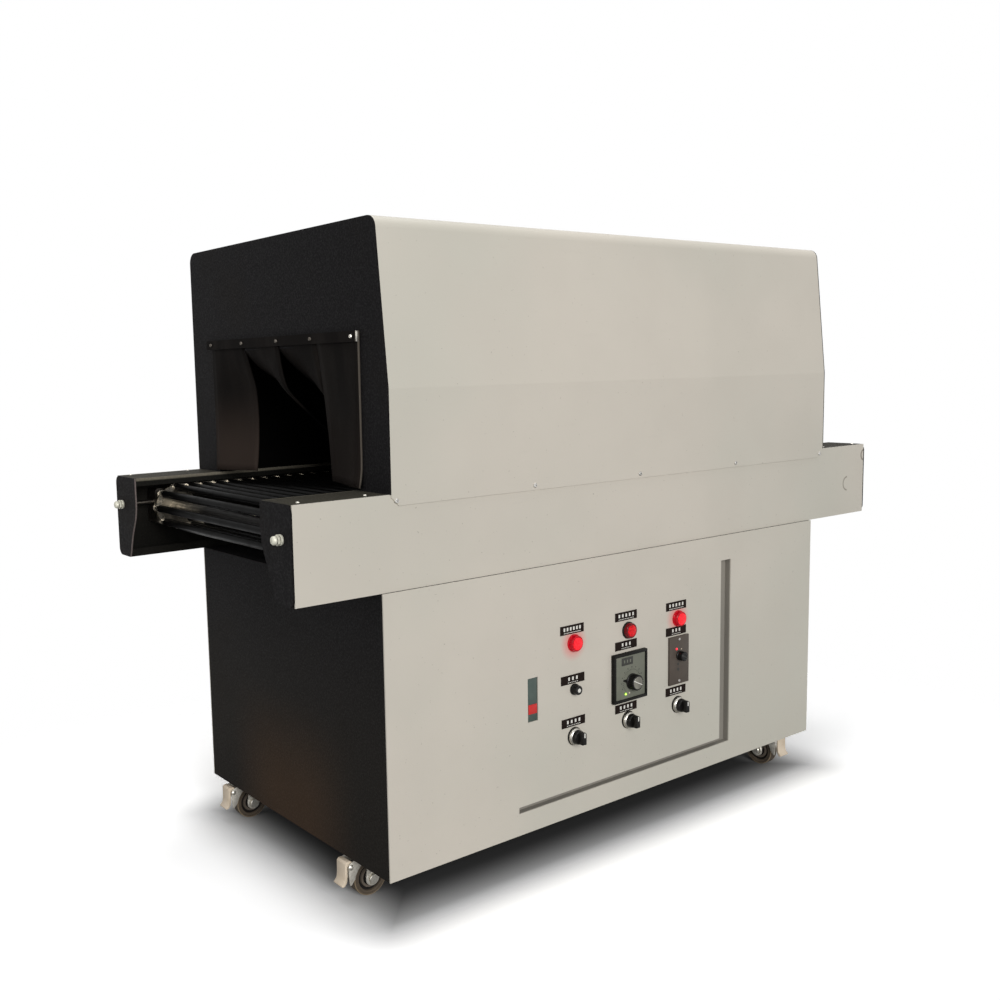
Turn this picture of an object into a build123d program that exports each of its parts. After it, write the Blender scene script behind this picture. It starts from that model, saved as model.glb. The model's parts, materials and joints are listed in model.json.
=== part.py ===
from build123d import *
import os
from math import cos, floor, pi, radians, sin

# Battery heat shrink machine: a heated tunnel over a rod conveyor, on a closed cabinet with casters.
# Millimetres. The product travels along +X, the control panel faces -Y and the floor is z = 0.
# The origin is on the floor, below the middle of the machine's bounding box.

# Conveyor bed
bed_length = 1324.0
bed_depth = 585.0
bed_height = 135.0
skirt_sheet = 2.0
skirt_setback = 5.0
channel_sheet = 2.0
top_flange = 78.0
bottom_flange = 43.0
flange_lip = 13.0
end_cap_sheet = 3.0
cap_knee_height = 95.0
cap_foot_height = 35.0
cap_waist = 58.0
cap_corner_radius = 12.0

# Cabinet
cabinet_length = 1000.0
cabinet_depth = 550.0
cabinet_height = 415.0
cabinet_setback = 137.4
cabinet_sheet = 2.0
ground_clearance = 70.0
base_recess = 18.0
base_sheet = 3.0

# Hood and tunnel
hood_length = 1021.0
hood_setback = 156.4
hood_height = 377.0
hood_sheet = 2.0
hood_overlap = 16.0
hood_bend_height = 144.0
hood_slant = 23.0
hood_corner_radius = 18.0
hood_corner_chamfer = 12.0
tunnel_height = 205.0
tunnel_front_inset = 75.0
tunnel_width = 437.0
liner_sheet = 2.0

# Curtains of four rubber flaps at each tunnel mouth
flap_count = 4
flap_thickness = 3.0
flap_gap = 1.0
curtain_overlap = 9.0
curtain_width = 449.0
curtain_bed_gap = 4.0
clamp_thickness = 4.0
clamp_height = 15.0
clamp_rise = 4.0
clamp_length = 461.0

# Chains, rods, sprockets and shafts
chain_pitch = 25.4
shaft_end_room = 70.0
sprocket_teeth = 8
roller_radius = 4.0
roller_sides = 6
chain_plate = 1.5
chain_plate_height = 12.0
chain_inner_width = 8.0
chain_inset = 62.0
rod_radius = 6.0
rod_sides = 8
rod_drop = 2.0
sprocket_thickness = 7.0
sprocket_tooth_rise = 3.0
tooth_clearance = 0.3
shaft_radius = 10.0
block_length = 50.0
block_height = 60.0
block_depth = 36.0
tension_bolt_height = 88.0
tension_bolt_inset = 25.0
tension_bolt_reach = 19.0
tension_rod_radius = 4.0
tension_washer_radius = 8.5
tension_washer_thickness = 3.0
tension_nut_radius = 7.0
tension_nut_height = 5.0
tension_dome_radius = 6.0
tension_dome_taper = 12.0
bolt_clearance = 0.3

# Control panel: each column is a distance from the cabinet's infeed end, each row a height above its foot
device_inset = 364.0
device_spacing = 125.0
lamp_row = 285.0
lamp_radius = 14.0
lamp_bezel_height = 4.0
lamp_dome_height = 7.0
lamp_lens_radius = 12.5
lamp_crown_radius = 8.0
lamp_crown_height = 2.5
selector_row = 133.0
selector_bezel_radius = 14.7
selector_bezel_height = 7.0
selector_knob_radius = 11.5
selector_skirt_height = 7.0
selector_reach = 26.0
selector_lever_width = 9.0
selector_tip_width = 5.0
stem_radius = 11.0
stem_length = 35.0
stem_clearance = 0.25
knob_gap = 0.3
knob_edge_chamfer = 1.2
fuse_row = 210.0
fuse_cap_radius = 9.0
fuse_cap_height = 12.0
fuse_tip_radius = 7.5
fuse_stem_radius = 6.0
controller_row = 208.0
controller_width = 80.0
controller_height = 82.0
controller_bezel = 8.0
controller_frame = 5.0
controller_recess = 2.0
controller_body = 68.0
controller_body_depth = 60.0
controller_knob_rise = -9.0
controller_knob_shift = 3.0
controller_knob_radius = 13.5
controller_knob_height = 14.0
speed_row = 212.5
speed_width = 50.0
speed_height = 84.0
speed_plate = 4.0
speed_body_width = 42.0
speed_body_height = 62.0
speed_body_depth = 40.0
speed_knob_rise = 8.0
speed_knob_radius = 8.5
speed_knob_height = 12.0
window_column = 275.5
window_row = 210.5
window_width = 21.0
window_height = 69.0
breaker_flange = 6.0
breaker_depth = 55.0
breaker_set_in = 1.0
breaker_lever_drop = -15.0
breaker_lever_width = 12.0
breaker_lever_height = 15.0
cutout_clearance = 0.5
groove_right = 757.0
groove_left = 245.0
groove_bottom = 35.0
groove_top = 370.5
groove_upright_width = 27.0
groove_foot_height = 10.0
groove_depth = 10.0
groove_sheet = 1.5

# Casters: each inset is the swivel's distance from that end, front or rear of the cabinet, and the heading is
# the direction of the pedal from the swivel, in degrees
infeed_caster_inset = 60.0
outfeed_caster_inset = 54.0
front_infeed_caster_inset = 116.0
front_outfeed_caster_inset = 86.0
rear_caster_inset = 60.0
infeed_heading = 180.0
outfeed_heading = 0.0
turned_heading = -90.0
wheel_radius = 29.0
wheel_width = 20.0
wheel_edge_chamfer = 3.0
wheel_web_recess = 2.5
wheel_rim = 9.0
wheel_hub_radius = 9.0
caster_trail = 22.0
axle_radius = 4.0
axle_clearance = 0.1
axle_head_radius = 6.0
axle_head_height = 6.0
fork_clearance = 2.0
fork_sheet = 2.5
fork_crown_height = 71.0
fork_crown_sheet = 4.0
fork_heel = 15.0
fork_foot_radius = 9.0
race_radius = 22.0
king_pin_radius = 5.0
caster_plate_size = 60.0
caster_plate_sheet = 2.5
pedal_pivot_reach = 38.0
pedal_pivot_height = 56.0
pedal_pivot_radius = 6.0
pedal_reach = 52.0
pedal_thickness = 6.0
pedal_foot_height = 28.0

os.makedirs("parts", exist_ok=True)

# Places that the pieces share
machine_depth = skirt_setback + bed_depth + hood_sheet
front_y = (selector_reach - machine_depth) / 2
rear_y = front_y + machine_depth
bed_front_y = front_y + skirt_setback
bed_rear_y = bed_front_y + bed_depth
bed_mid_y = (bed_front_y + bed_rear_y) / 2
cabinet_x = cabinet_setback - bed_length / 2
cabinet_end_x = cabinet_x + cabinet_length
cabinet_rear_y = front_y + cabinet_depth
cabinet_mid_y = (front_y + cabinet_rear_y) / 2
cabinet_mid_x = (cabinet_x + cabinet_end_x) / 2
foot_z = ground_clearance
bed_z = foot_z + cabinet_height
bed_top_z = bed_z + bed_height
hood_x = hood_setback - bed_length / 2
hood_end_x = hood_x + hood_length
hood_top_z = bed_top_z + hood_height
hood_front_y = bed_front_y - hood_sheet
tunnel_front_y = front_y + tunnel_front_inset
tunnel_rear_y = tunnel_front_y + tunnel_width
tunnel_mid_y = (tunnel_front_y + tunnel_rear_y) / 2
tunnel_top_z = bed_top_z + tunnel_height
sprocket_radius = chain_pitch / 2 / sin(pi / sprocket_teeth)
run_pitches = floor((bed_length - 2 * shaft_end_room) / chain_pitch)
shaft_spacing = chain_pitch * run_pitches
shaft_z = bed_top_z - flange_lip - rod_drop - rod_radius - sprocket_radius
chain_width = chain_inner_width + 2 * chain_plate
device_columns = [device_inset + index * device_spacing for index in range(3)]
infeed_caster_x = cabinet_x + infeed_caster_inset
outfeed_caster_x = cabinet_end_x - outfeed_caster_inset
front_infeed_caster_y = front_y + front_infeed_caster_inset
front_outfeed_caster_y = front_y + front_outfeed_caster_inset
rear_caster_y = cabinet_rear_y - rear_caster_inset
caster_places = {
    "infeed_front": Location((infeed_caster_x, front_infeed_caster_y, 0), (0, 0, infeed_heading)),
    "infeed_rear": Location((infeed_caster_x, rear_caster_y, 0), (0, 0, infeed_heading)),
    "outfeed_front": Location((outfeed_caster_x, front_outfeed_caster_y, 0), (0, 0, turned_heading)),
    "outfeed_rear": Location((outfeed_caster_x, rear_caster_y, 0), (0, 0, outfeed_heading)),
}


# Cabinet panels
def panel_point(column, row):
    """A point of the control panel, in the sketch plane of its outer face."""
    return (cabinet_x + column, foot_z + row)


panel_plane = Plane(origin=(0, front_y, 0), x_dir=(1, 0, 0), z_dir=(0, -1, 0))

groove_corner_x = cabinet_x + groove_right
groove_upright_x = groove_corner_x - groove_upright_width
groove_foot_z = foot_z + groove_bottom
groove_outline = [
    (cabinet_x + groove_left, groove_foot_z),
    (groove_corner_x, groove_foot_z),
    (groove_corner_x, foot_z + groove_top),
    (groove_upright_x, foot_z + groove_top),
    (groove_upright_x, groove_foot_z + groove_foot_height),
    (cabinet_x + groove_left, groove_foot_z + groove_foot_height),
]

with BuildPart() as front_panel:
    with BuildSketch(panel_plane.offset(-cabinet_sheet)):
        with Locations((cabinet_mid_x, foot_z + cabinet_height / 2)):
            Rectangle(cabinet_length, cabinet_height)
        with Locations(*[panel_point(column, lamp_row) for column in device_columns]):
            Circle(stem_radius + stem_clearance, mode=Mode.SUBTRACT)
        with Locations(*[panel_point(column, selector_row) for column in device_columns]):
            Circle(stem_radius + stem_clearance, mode=Mode.SUBTRACT)
        with Locations(panel_point(device_columns[0], fuse_row)):
            Circle(fuse_stem_radius + stem_clearance, mode=Mode.SUBTRACT)
        with Locations(panel_point(device_columns[1], controller_row)):
            controller_hole = controller_body + 2 * cutout_clearance
            Rectangle(controller_hole, controller_hole, mode=Mode.SUBTRACT)
        with Locations(panel_point(device_columns[2], speed_row)):
            speed_hole_width = speed_body_width + 2 * cutout_clearance
            speed_hole_height = speed_body_height + 2 * cutout_clearance
            Rectangle(speed_hole_width, speed_hole_height, mode=Mode.SUBTRACT)
        with Locations(panel_point(window_column, window_row)):
            Rectangle(window_width, window_height, mode=Mode.SUBTRACT)
        with BuildLine():
            Polyline(*groove_outline, close=True)
        make_face(mode=Mode.SUBTRACT)
    extrude(amount=cabinet_sheet)
front_panel.part.label = "front_panel"
export_step(front_panel.part, "parts/front_panel.step")

# The L-shaped groove is a shallow tray behind the slot in the front panel
with BuildPart() as groove_tray:
    with BuildSketch(panel_plane.offset(-cabinet_sheet)):
        with BuildLine():
            Polyline(*groove_outline, close=True)
        make_face()
        offset(amount=groove_sheet, kind=Kind.INTERSECTION)
    extrude(amount=-groove_depth - groove_sheet)
    with BuildSketch(panel_plane.offset(-cabinet_sheet)):
        with BuildLine():
            Polyline(*groove_outline, close=True)
        make_face()
    extrude(amount=-groove_depth, mode=Mode.SUBTRACT)
groove_tray.part.label = "groove_tray"
export_step(groove_tray.part, "parts/groove_tray.step")

with BuildPart() as rear_panel:
    with BuildSketch(Plane.XZ.offset(-cabinet_rear_y)):
        with Locations((cabinet_mid_x, foot_z + cabinet_height / 2)):
            Rectangle(cabinet_length, cabinet_height)
    extrude(amount=cabinet_sheet)
rear_panel.part.label = "rear_panel"
export_step(rear_panel.part, "parts/rear_panel.step")

side_depth = cabinet_depth - 2 * cabinet_sheet
for side_name, side_x in (("infeed", cabinet_x), ("outfeed", cabinet_end_x - cabinet_sheet)):
    with BuildPart() as side_panel:
        with BuildSketch(Plane.YZ.offset(side_x)):
            with Locations((cabinet_mid_y, foot_z + cabinet_height / 2)):
                Rectangle(side_depth, cabinet_height)
        extrude(amount=cabinet_sheet)
    side_panel.part.label = f"{side_name}_side_panel"
    export_step(side_panel.part, f"parts/{side_name}_side_panel.step")

inside_length = cabinet_length - 2 * cabinet_sheet
base_z = foot_z + base_recess
with BuildPart() as cabinet_base:
    with BuildSketch(Plane.XY.offset(base_z)):
        with Locations((cabinet_mid_x, cabinet_mid_y)):
            Rectangle(inside_length, side_depth)
    extrude(amount=base_sheet)
cabinet_base.part.label = "cabinet_base"
export_step(cabinet_base.part, "parts/cabinet_base.step")

with BuildPart() as cabinet_deck:
    with BuildSketch(Plane.XY.offset(bed_z - cabinet_sheet)):
        with Locations((cabinet_mid_x, cabinet_mid_y)):
            Rectangle(inside_length, side_depth)
    extrude(amount=cabinet_sheet)
cabinet_deck.part.label = "cabinet_deck"
export_step(cabinet_deck.part, "parts/cabinet_deck.step")

# Conveyor bed: on each side a lipped channel, open inwards, with a skirt sheet on its outer face
channel_length = bed_length - 2 * end_cap_sheet
for side_name, outer_y, inward in (("front", bed_front_y, 1), ("rear", bed_rear_y, -1)):
    web_y = outer_y + inward * skirt_sheet
    top_edge_y = web_y + inward * top_flange
    bottom_edge_y = web_y + inward * bottom_flange
    with BuildPart() as channel:
        with BuildSketch(Plane.YZ.offset(-channel_length / 2)):
            with BuildLine():
                Polyline(
                    (top_edge_y, bed_top_z - flange_lip),
                    (top_edge_y, bed_top_z),
                    (web_y, bed_top_z),
                    (web_y, bed_z),
                    (bottom_edge_y, bed_z),
                    (bottom_edge_y, bed_z + flange_lip),
                    (bottom_edge_y - inward * channel_sheet, bed_z + flange_lip),
                    (bottom_edge_y - inward * channel_sheet, bed_z + channel_sheet),
                    (web_y + inward * channel_sheet, bed_z + channel_sheet),
                    (web_y + inward * channel_sheet, bed_top_z - channel_sheet),
                    (top_edge_y - inward * channel_sheet, bed_top_z - channel_sheet),
                    (top_edge_y - inward * channel_sheet, bed_top_z - flange_lip),
                    close=True,
                )
            make_face()
        extrude(amount=channel_length)
    channel.part.label = f"{side_name}_channel"
    export_step(channel.part, f"parts/{side_name}_channel.step")

    with BuildPart() as skirt:
        with BuildSketch(Plane.YZ.offset(-channel_length / 2)):
            with Locations((outer_y + inward * skirt_sheet / 2, bed_z + bed_height / 2)):
                Rectangle(skirt_sheet, bed_height)
        extrude(amount=channel_length)
    skirt.part.label = f"{side_name}_skirt"
    export_step(skirt.part, f"parts/{side_name}_skirt.step")

# End caps: wide at the top, drawn in below the knee, one on each end of each channel
cap_width = skirt_sheet + top_flange
cap_foot_width = skirt_sheet + bottom_flange
bolt_z = bed_z + tension_bolt_height
cap_ends = [-bed_length / 2, bed_length / 2 - end_cap_sheet]
with BuildPart() as channel_end_caps:
    for outer_y, inward in ((bed_front_y, 1), (bed_rear_y, -1)):
        bolt_y = outer_y + inward * tension_bolt_inset
        for cap_x in cap_ends:
            with BuildSketch(Plane.YZ.offset(cap_x)) as cap_face:
                with BuildLine():
                    cap_top = Polyline(
                        (outer_y + inward * cap_foot_width, bed_z),
                        (outer_y, bed_z),
                        (outer_y, bed_top_z),
                        (outer_y + inward * cap_width, bed_top_z),
                        (outer_y + inward * cap_width, bed_z + cap_knee_height),
                    )
                    Spline(
                        (outer_y + inward * cap_width, bed_z + cap_knee_height),
                        (outer_y + inward * cap_waist, bed_z + cap_foot_height),
                        (outer_y + inward * cap_foot_width, bed_z),
                        tangents=((0, -1), (-inward * 0.5, -1)),
                    )
                make_face()
                outer_corners = cap_face.vertices().group_by(Axis.X)[0 if inward > 0 else -1]
                fillet(outer_corners, cap_corner_radius)
                with Locations((bolt_y, bolt_z)):
                    Circle(tension_rod_radius + bolt_clearance, mode=Mode.SUBTRACT)
            extrude(amount=end_cap_sheet)
channel_end_caps.part.label = "channel_end_caps"
export_step(channel_end_caps.part, "parts/channel_end_caps.step")

# Chain path: the pins round each sprocket are the corners of the loop, and the straight runs lie between them
step_angle = 360 / sprocket_teeth
loop_corners = []
for end_x, start_angle in ((shaft_spacing / 2, 90), (-shaft_spacing / 2, -90)):
    for index in range(sprocket_teeth // 2 + 1):
        turn = radians(start_angle - index * step_angle)
        loop_corners.append((end_x + sprocket_radius * cos(turn), shaft_z + sprocket_radius * sin(turn)))

pin_points = list(loop_corners)
for index in range(1, run_pitches):
    along = index * chain_pitch - shaft_spacing / 2
    pin_points.append((along, shaft_z + sprocket_radius))
    pin_points.append((along, shaft_z - sprocket_radius))

chain_front_y = bed_front_y + chain_inset
chain_rear_y = bed_rear_y - chain_inset
for side_name, chain_y in (("front", chain_front_y), ("rear", chain_rear_y)):
    with BuildPart() as chain:
        plate_starts = (-chain_width / 2, chain_inner_width / 2)
        for start in plate_starts:
            with BuildSketch(Plane.XZ.offset(-(chain_y + start + chain_plate))):
                with BuildLine():
                    Polyline(*loop_corners, close=True)
                    offset(amount=chain_plate_height / 2, kind=Kind.INTERSECTION)
                make_face()
                with BuildLine():
                    Polyline(*loop_corners, close=True)
                    offset(amount=-chain_plate_height / 2, kind=Kind.INTERSECTION)
                make_face(mode=Mode.SUBTRACT)
            extrude(amount=chain_plate)
        with BuildSketch(Plane.XZ.offset(-(chain_y + chain_inner_width / 2))):
            with Locations(*pin_points):
                RegularPolygon(roller_radius, roller_sides)
        extrude(amount=chain_inner_width)
    chain.part.label = f"{side_name}_chain"
    export_step(chain.part, f"parts/{side_name}_chain.step")

# Cross rods that carry the product, one at each pin of the two chains
rod_front_y = chain_front_y + chain_width / 2
rod_rear_y = chain_rear_y - chain_width / 2
with BuildPart() as conveyor_rods:
    with BuildSketch(Plane.XZ.offset(-rod_rear_y)):
        with Locations(*pin_points):
            RegularPolygon(rod_radius, rod_sides, rotation=180 / rod_sides)
    extrude(amount=rod_rear_y - rod_front_y)
conveyor_rods.part.label = "conveyor_rods"
export_step(conveyor_rods.part, "parts/conveyor_rods.step")

# End shafts with a sprocket under each chain, held between take-up blocks
block_front_y = bed_front_y + skirt_sheet + channel_sheet
block_rear_y = bed_rear_y - skirt_sheet - channel_sheet
shaft_start_y = block_front_y + block_depth
shaft_end_y = block_rear_y - block_depth
tooth_gap_radius = roller_radius + tooth_clearance
for end_name, end_x in (("infeed", -shaft_spacing / 2), ("outfeed", shaft_spacing / 2)):
    with BuildPart() as end_shaft:
        with BuildSketch(Plane.XZ.offset(-shaft_end_y)):
            with Locations((end_x, shaft_z)):
                Circle(shaft_radius)
        extrude(amount=shaft_end_y - shaft_start_y)
        for chain_y in (chain_front_y, chain_rear_y):
            with BuildSketch(Plane.XZ.offset(-(chain_y + sprocket_thickness / 2))):
                with Locations((end_x, shaft_z)):
                    RegularPolygon(sprocket_radius + sprocket_tooth_rise, 2 * sprocket_teeth)
                    with PolarLocations(sprocket_radius, sprocket_teeth, rotate=False):
                        RegularPolygon(tooth_gap_radius, roller_sides, mode=Mode.SUBTRACT)
            extrude(amount=sprocket_thickness)
    end_shaft.part.label = f"{end_name}_shaft"
    export_step(end_shaft.part, f"parts/{end_name}_shaft.step")

with BuildPart() as takeup_blocks:
    for block_y in (block_front_y, block_rear_y - block_depth):
        with BuildSketch(Plane.XZ.offset(-(block_y + block_depth))) as block_face:
            with Locations((-shaft_spacing / 2, shaft_z), (shaft_spacing / 2, shaft_z)):
                Rectangle(block_length, block_height)
            fillet(block_face.vertices(), block_length / 10)
        extrude(amount=block_depth)
takeup_blocks.part.label = "takeup_blocks"
export_step(takeup_blocks.part, "parts/takeup_blocks.step")

# Tension bolts: a washer, a hexagon nut and a domed cap outside each end cap, on a rod from the take-up block
block_face_reach = shaft_spacing / 2 + block_length / 2
cap_face_reach = bed_length / 2
nut_start = cap_face_reach + tension_washer_thickness
dome_start = nut_start + tension_nut_height
dome_height = tension_bolt_reach - tension_washer_thickness - tension_nut_height
with BuildPart() as tension_bolts:
    for bolt_y in (bed_front_y + tension_bolt_inset, bed_rear_y - tension_bolt_inset):
        for outward in (-1, 1):
            with BuildSketch(Plane.YZ.offset(outward * block_face_reach)):
                with Locations((bolt_y, bolt_z)):
                    RegularPolygon(tension_rod_radius, rod_sides)
            extrude(amount=outward * (cap_face_reach - block_face_reach))
            with BuildSketch(Plane.YZ.offset(outward * cap_face_reach)):
                with Locations((bolt_y, bolt_z)):
                    Circle(tension_washer_radius)
            extrude(amount=outward * tension_washer_thickness)
            with BuildSketch(Plane.YZ.offset(outward * nut_start)):
                with Locations((bolt_y, bolt_z)):
                    RegularPolygon(tension_nut_radius, 6)
            extrude(amount=outward * tension_nut_height)
            with BuildSketch(Plane.YZ.offset(outward * dome_start)):
                with Locations((bolt_y, bolt_z)):
                    Circle(tension_dome_radius)
            extrude(amount=outward * dome_height, taper=tension_dome_taper)
tension_bolts.part.label = "tension_bolts"
export_step(tension_bolts.part, "parts/tension_bolts.step")

# Hood: one bent cover sheet over two end plates, with the tunnel's liner between them
bend_z = bed_top_z + hood_bend_height
slant_y = hood_front_y + hood_slant
cover_foot_z = bed_top_z - hood_overlap
with BuildPart() as hood_cover:
    with BuildSketch(Plane.YZ.offset(hood_x + hood_sheet)):
        with BuildLine():
            Polyline((hood_front_y, cover_foot_z), (hood_front_y, bend_z))
            FilletPolyline(
                (hood_front_y, bend_z),
                (slant_y, hood_top_z),
                (rear_y, hood_top_z),
                (rear_y, cover_foot_z),
                radius=hood_corner_radius,
            )
            offset(amount=-hood_sheet, side=Side.RIGHT)
        make_face()
    extrude(amount=hood_length - 2 * hood_sheet)
    foot_corners = hood_cover.edges().filter_by(Axis.Y).group_by(Axis.Z)[0]
    chamfer(foot_corners, hood_corner_chamfer)
hood_cover.part.label = "hood_cover"
export_step(hood_cover.part, "parts/hood_cover.step")

for end_name, plate_x in (("infeed", hood_x), ("outfeed", hood_end_x - hood_sheet)):
    with BuildPart() as hood_end:
        with BuildSketch(Plane.YZ.offset(plate_x)):
            with BuildLine():
                Polyline((rear_y, bed_top_z), (hood_front_y, bed_top_z), (hood_front_y, bend_z))
                FilletPolyline(
                    (hood_front_y, bend_z),
                    (slant_y, hood_top_z),
                    (rear_y, hood_top_z),
                    (rear_y, bed_top_z),
                    radius=hood_corner_radius,
                )
            make_face()
            with Locations((tunnel_mid_y, bed_top_z + tunnel_height / 2)):
                Rectangle(tunnel_width, tunnel_height, mode=Mode.SUBTRACT)
        extrude(amount=hood_sheet)
    hood_end.part.label = f"{end_name}_hood_end"
    export_step(hood_end.part, f"parts/{end_name}_hood_end.step")

with BuildPart() as tunnel_liner:
    with BuildSketch(Plane.YZ.offset(hood_x + hood_sheet)):
        with Locations((tunnel_mid_y, bed_top_z + (tunnel_height + liner_sheet) / 2)):
            Rectangle(tunnel_width + 2 * liner_sheet, tunnel_height + liner_sheet)
        with Locations((tunnel_mid_y, bed_top_z + tunnel_height / 2)):
            Rectangle(tunnel_width, tunnel_height, mode=Mode.SUBTRACT)
    extrude(amount=hood_length - 2 * hood_sheet)
tunnel_liner.part.label = "tunnel_liner"
export_step(tunnel_liner.part, "parts/tunnel_liner.step")

# Curtains hang outside the end plates, from clamp bars screwed above the tunnel's mouths
curtain_front_y = tunnel_front_y - curtain_overlap
flap_pitch = curtain_width / flap_count
flap_foot_z = bed_top_z + curtain_bed_gap
clamp_z = tunnel_top_z + clamp_rise
flap_top_z = clamp_z + clamp_height
flap_middles = [curtain_front_y + (index + 0.5) * flap_pitch for index in range(flap_count)]
for end_name, flap_x in (("infeed", hood_x - flap_thickness), ("outfeed", hood_end_x)):
    with BuildPart() as curtain:
        with BuildSketch(Plane.YZ.offset(flap_x)):
            with Locations(*[(middle, (flap_foot_z + flap_top_z) / 2) for middle in flap_middles]):
                Rectangle(flap_pitch - flap_gap, flap_top_z - flap_foot_z)
        extrude(amount=flap_thickness)
    curtain.part.label = f"{end_name}_curtain"
    export_step(curtain.part, f"parts/{end_name}_curtain.step")

clamp_starts = (hood_x - flap_thickness - clamp_thickness, hood_end_x + flap_thickness)
with BuildPart() as curtain_clamps:
    for clamp_x in clamp_starts:
        with BuildSketch(Plane.YZ.offset(clamp_x)):
            with Locations((curtain_front_y + clamp_length / 2, clamp_z + clamp_height / 2)):
                Rectangle(clamp_length, clamp_height)
        extrude(amount=clamp_thickness)
curtain_clamps.part.label = "curtain_clamps"
export_step(curtain_clamps.part, "parts/curtain_clamps.step")


# Control devices: each turned profile is (distance from the axis, depth behind the panel's face)
def device_plane(column, row):
    """The level plane through a device's axis, with its local y pointing into the cabinet."""
    return Plane(origin=(cabinet_x + column, front_y, foot_z + row), z_dir=(0, 0, 1))


def device_axis(column, row):
    """The axis of a turned device, pointing out of the panel."""
    return Axis((cabinet_x + column, front_y, foot_z + row), (0, -1, 0))


lamp_crown_out = lamp_bezel_height + lamp_dome_height
with BuildPart() as indicator_lamps:
    for column in device_columns:
        with BuildSketch(device_plane(column, lamp_row)):
            with BuildLine():
                Polyline(
                    (0, stem_length),
                    (stem_radius, stem_length),
                    (stem_radius, 0),
                    (lamp_radius, 0),
                    (lamp_radius, -lamp_bezel_height),
                    (lamp_lens_radius, -lamp_bezel_height),
                    (lamp_lens_radius, lamp_crown_height - lamp_crown_out),
                    (lamp_crown_radius, -lamp_crown_out),
                    (0, -lamp_crown_out),
                    close=True,
                )
            make_face()
        revolve(axis=device_axis(column, lamp_row))
indicator_lamps.part.label = "indicator_lamps"
export_step(indicator_lamps.part, "parts/indicator_lamps.step")

with BuildPart() as selector_bezels:
    for column in device_columns:
        with BuildSketch(device_plane(column, selector_row)):
            with BuildLine():
                Polyline(
                    (0, stem_length),
                    (stem_radius, stem_length),
                    (stem_radius, 0),
                    (selector_bezel_radius, 0),
                    (selector_bezel_radius, -selector_bezel_height / 2),
                    (selector_knob_radius, -selector_bezel_height),
                    (0, -selector_bezel_height),
                    close=True,
                )
            make_face()
        revolve(axis=device_axis(column, selector_row))
selector_bezels.part.label = "selector_bezels"
export_step(selector_bezels.part, "parts/selector_bezels.step")

knob_start = selector_bezel_height + knob_gap
knob_names = ("left", "middle", "right")
for knob_name, column in zip(knob_names, device_columns):
    knob_x, knob_z = panel_point(column, selector_row)
    with BuildPart() as selector_knob:
        with BuildSketch(panel_plane.offset(knob_start)):
            with Locations((knob_x, knob_z)):
                Circle(selector_knob_radius)
        extrude(amount=selector_skirt_height)
        lever_start = knob_start + selector_skirt_height
        with BuildSketch(panel_plane.offset(lever_start)):
            with Locations((knob_x, knob_z)):
                Rectangle(selector_lever_width, 2 * selector_knob_radius - selector_lever_width / 2)
        with BuildSketch(panel_plane.offset(selector_reach)):
            with Locations((knob_x, knob_z)):
                Rectangle(selector_tip_width, 2 * selector_knob_radius - selector_lever_width)
        loft(ruled=True)
    selector_knob.part.label = f"selector_knob_{knob_name}"
    export_step(selector_knob.part, f"parts/selector_knob_{knob_name}.step")

with BuildPart() as fuse_holder:
    with BuildSketch(device_plane(device_columns[0], fuse_row)):
        with BuildLine():
            Polyline(
                (0, stem_length),
                (fuse_stem_radius, stem_length),
                (fuse_stem_radius, 0),
                (fuse_cap_radius, 0),
                (fuse_cap_radius, -fuse_cap_height / 3),
                (fuse_tip_radius, -fuse_cap_height),
                (0, -fuse_cap_height),
                close=True,
            )
        make_face()
    revolve(axis=device_axis(device_columns[0], fuse_row))
fuse_holder.part.label = "fuse_holder"
export_step(fuse_holder.part, "parts/fuse_holder.step")

controller_x, controller_z = panel_point(device_columns[1], controller_row)
with BuildPart() as temperature_controller:
    with BuildSketch(panel_plane):
        with Locations((controller_x, controller_z)):
            Rectangle(controller_width, controller_height)
    extrude(amount=controller_bezel, taper=8)
    with BuildSketch(panel_plane.offset(controller_bezel - controller_recess)):
        with Locations((controller_x, controller_z)):
            Rectangle(controller_width - 2 * controller_frame, controller_height - 2 * controller_frame)
    extrude(amount=controller_recess, mode=Mode.SUBTRACT)
    with BuildSketch(panel_plane):
        with Locations((controller_x, controller_z)):
            Rectangle(controller_body, controller_body)
    extrude(amount=-controller_body_depth)
temperature_controller.part.label = "temperature_controller"
export_step(temperature_controller.part, "parts/temperature_controller.step")

dial_start = controller_bezel - controller_recess + knob_gap
with BuildPart() as temperature_knob:
    with BuildSketch(panel_plane.offset(dial_start)):
        with Locations((controller_x + controller_knob_shift, controller_z + controller_knob_rise)):
            Circle(controller_knob_radius)
    extrude(amount=controller_knob_height)
    chamfer(temperature_knob.faces().sort_by(Axis.Y)[0].edges(), knob_edge_chamfer)
temperature_knob.part.label = "temperature_knob"
export_step(temperature_knob.part, "parts/temperature_knob.step")

speed_x, speed_z = panel_point(device_columns[2], speed_row)
with BuildPart() as speed_controller:
    with BuildSketch(panel_plane):
        with Locations((speed_x, speed_z)):
            Rectangle(speed_width, speed_height)
    extrude(amount=speed_plate)
    with BuildSketch(panel_plane):
        with Locations((speed_x, speed_z)):
            Rectangle(speed_body_width, speed_body_height)
    extrude(amount=-speed_body_depth)
speed_controller.part.label = "speed_controller"
export_step(speed_controller.part, "parts/speed_controller.step")

with BuildPart() as speed_knob:
    with BuildSketch(panel_plane.offset(speed_plate + knob_gap)):
        with Locations((speed_x, speed_z + speed_knob_rise)):
            Circle(speed_knob_radius)
    extrude(amount=speed_knob_height)
    chamfer(speed_knob.faces().sort_by(Axis.Y)[0].edges(), knob_edge_chamfer)
speed_knob.part.label = "speed_knob"
export_step(speed_knob.part, "parts/speed_knob.step")

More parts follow.
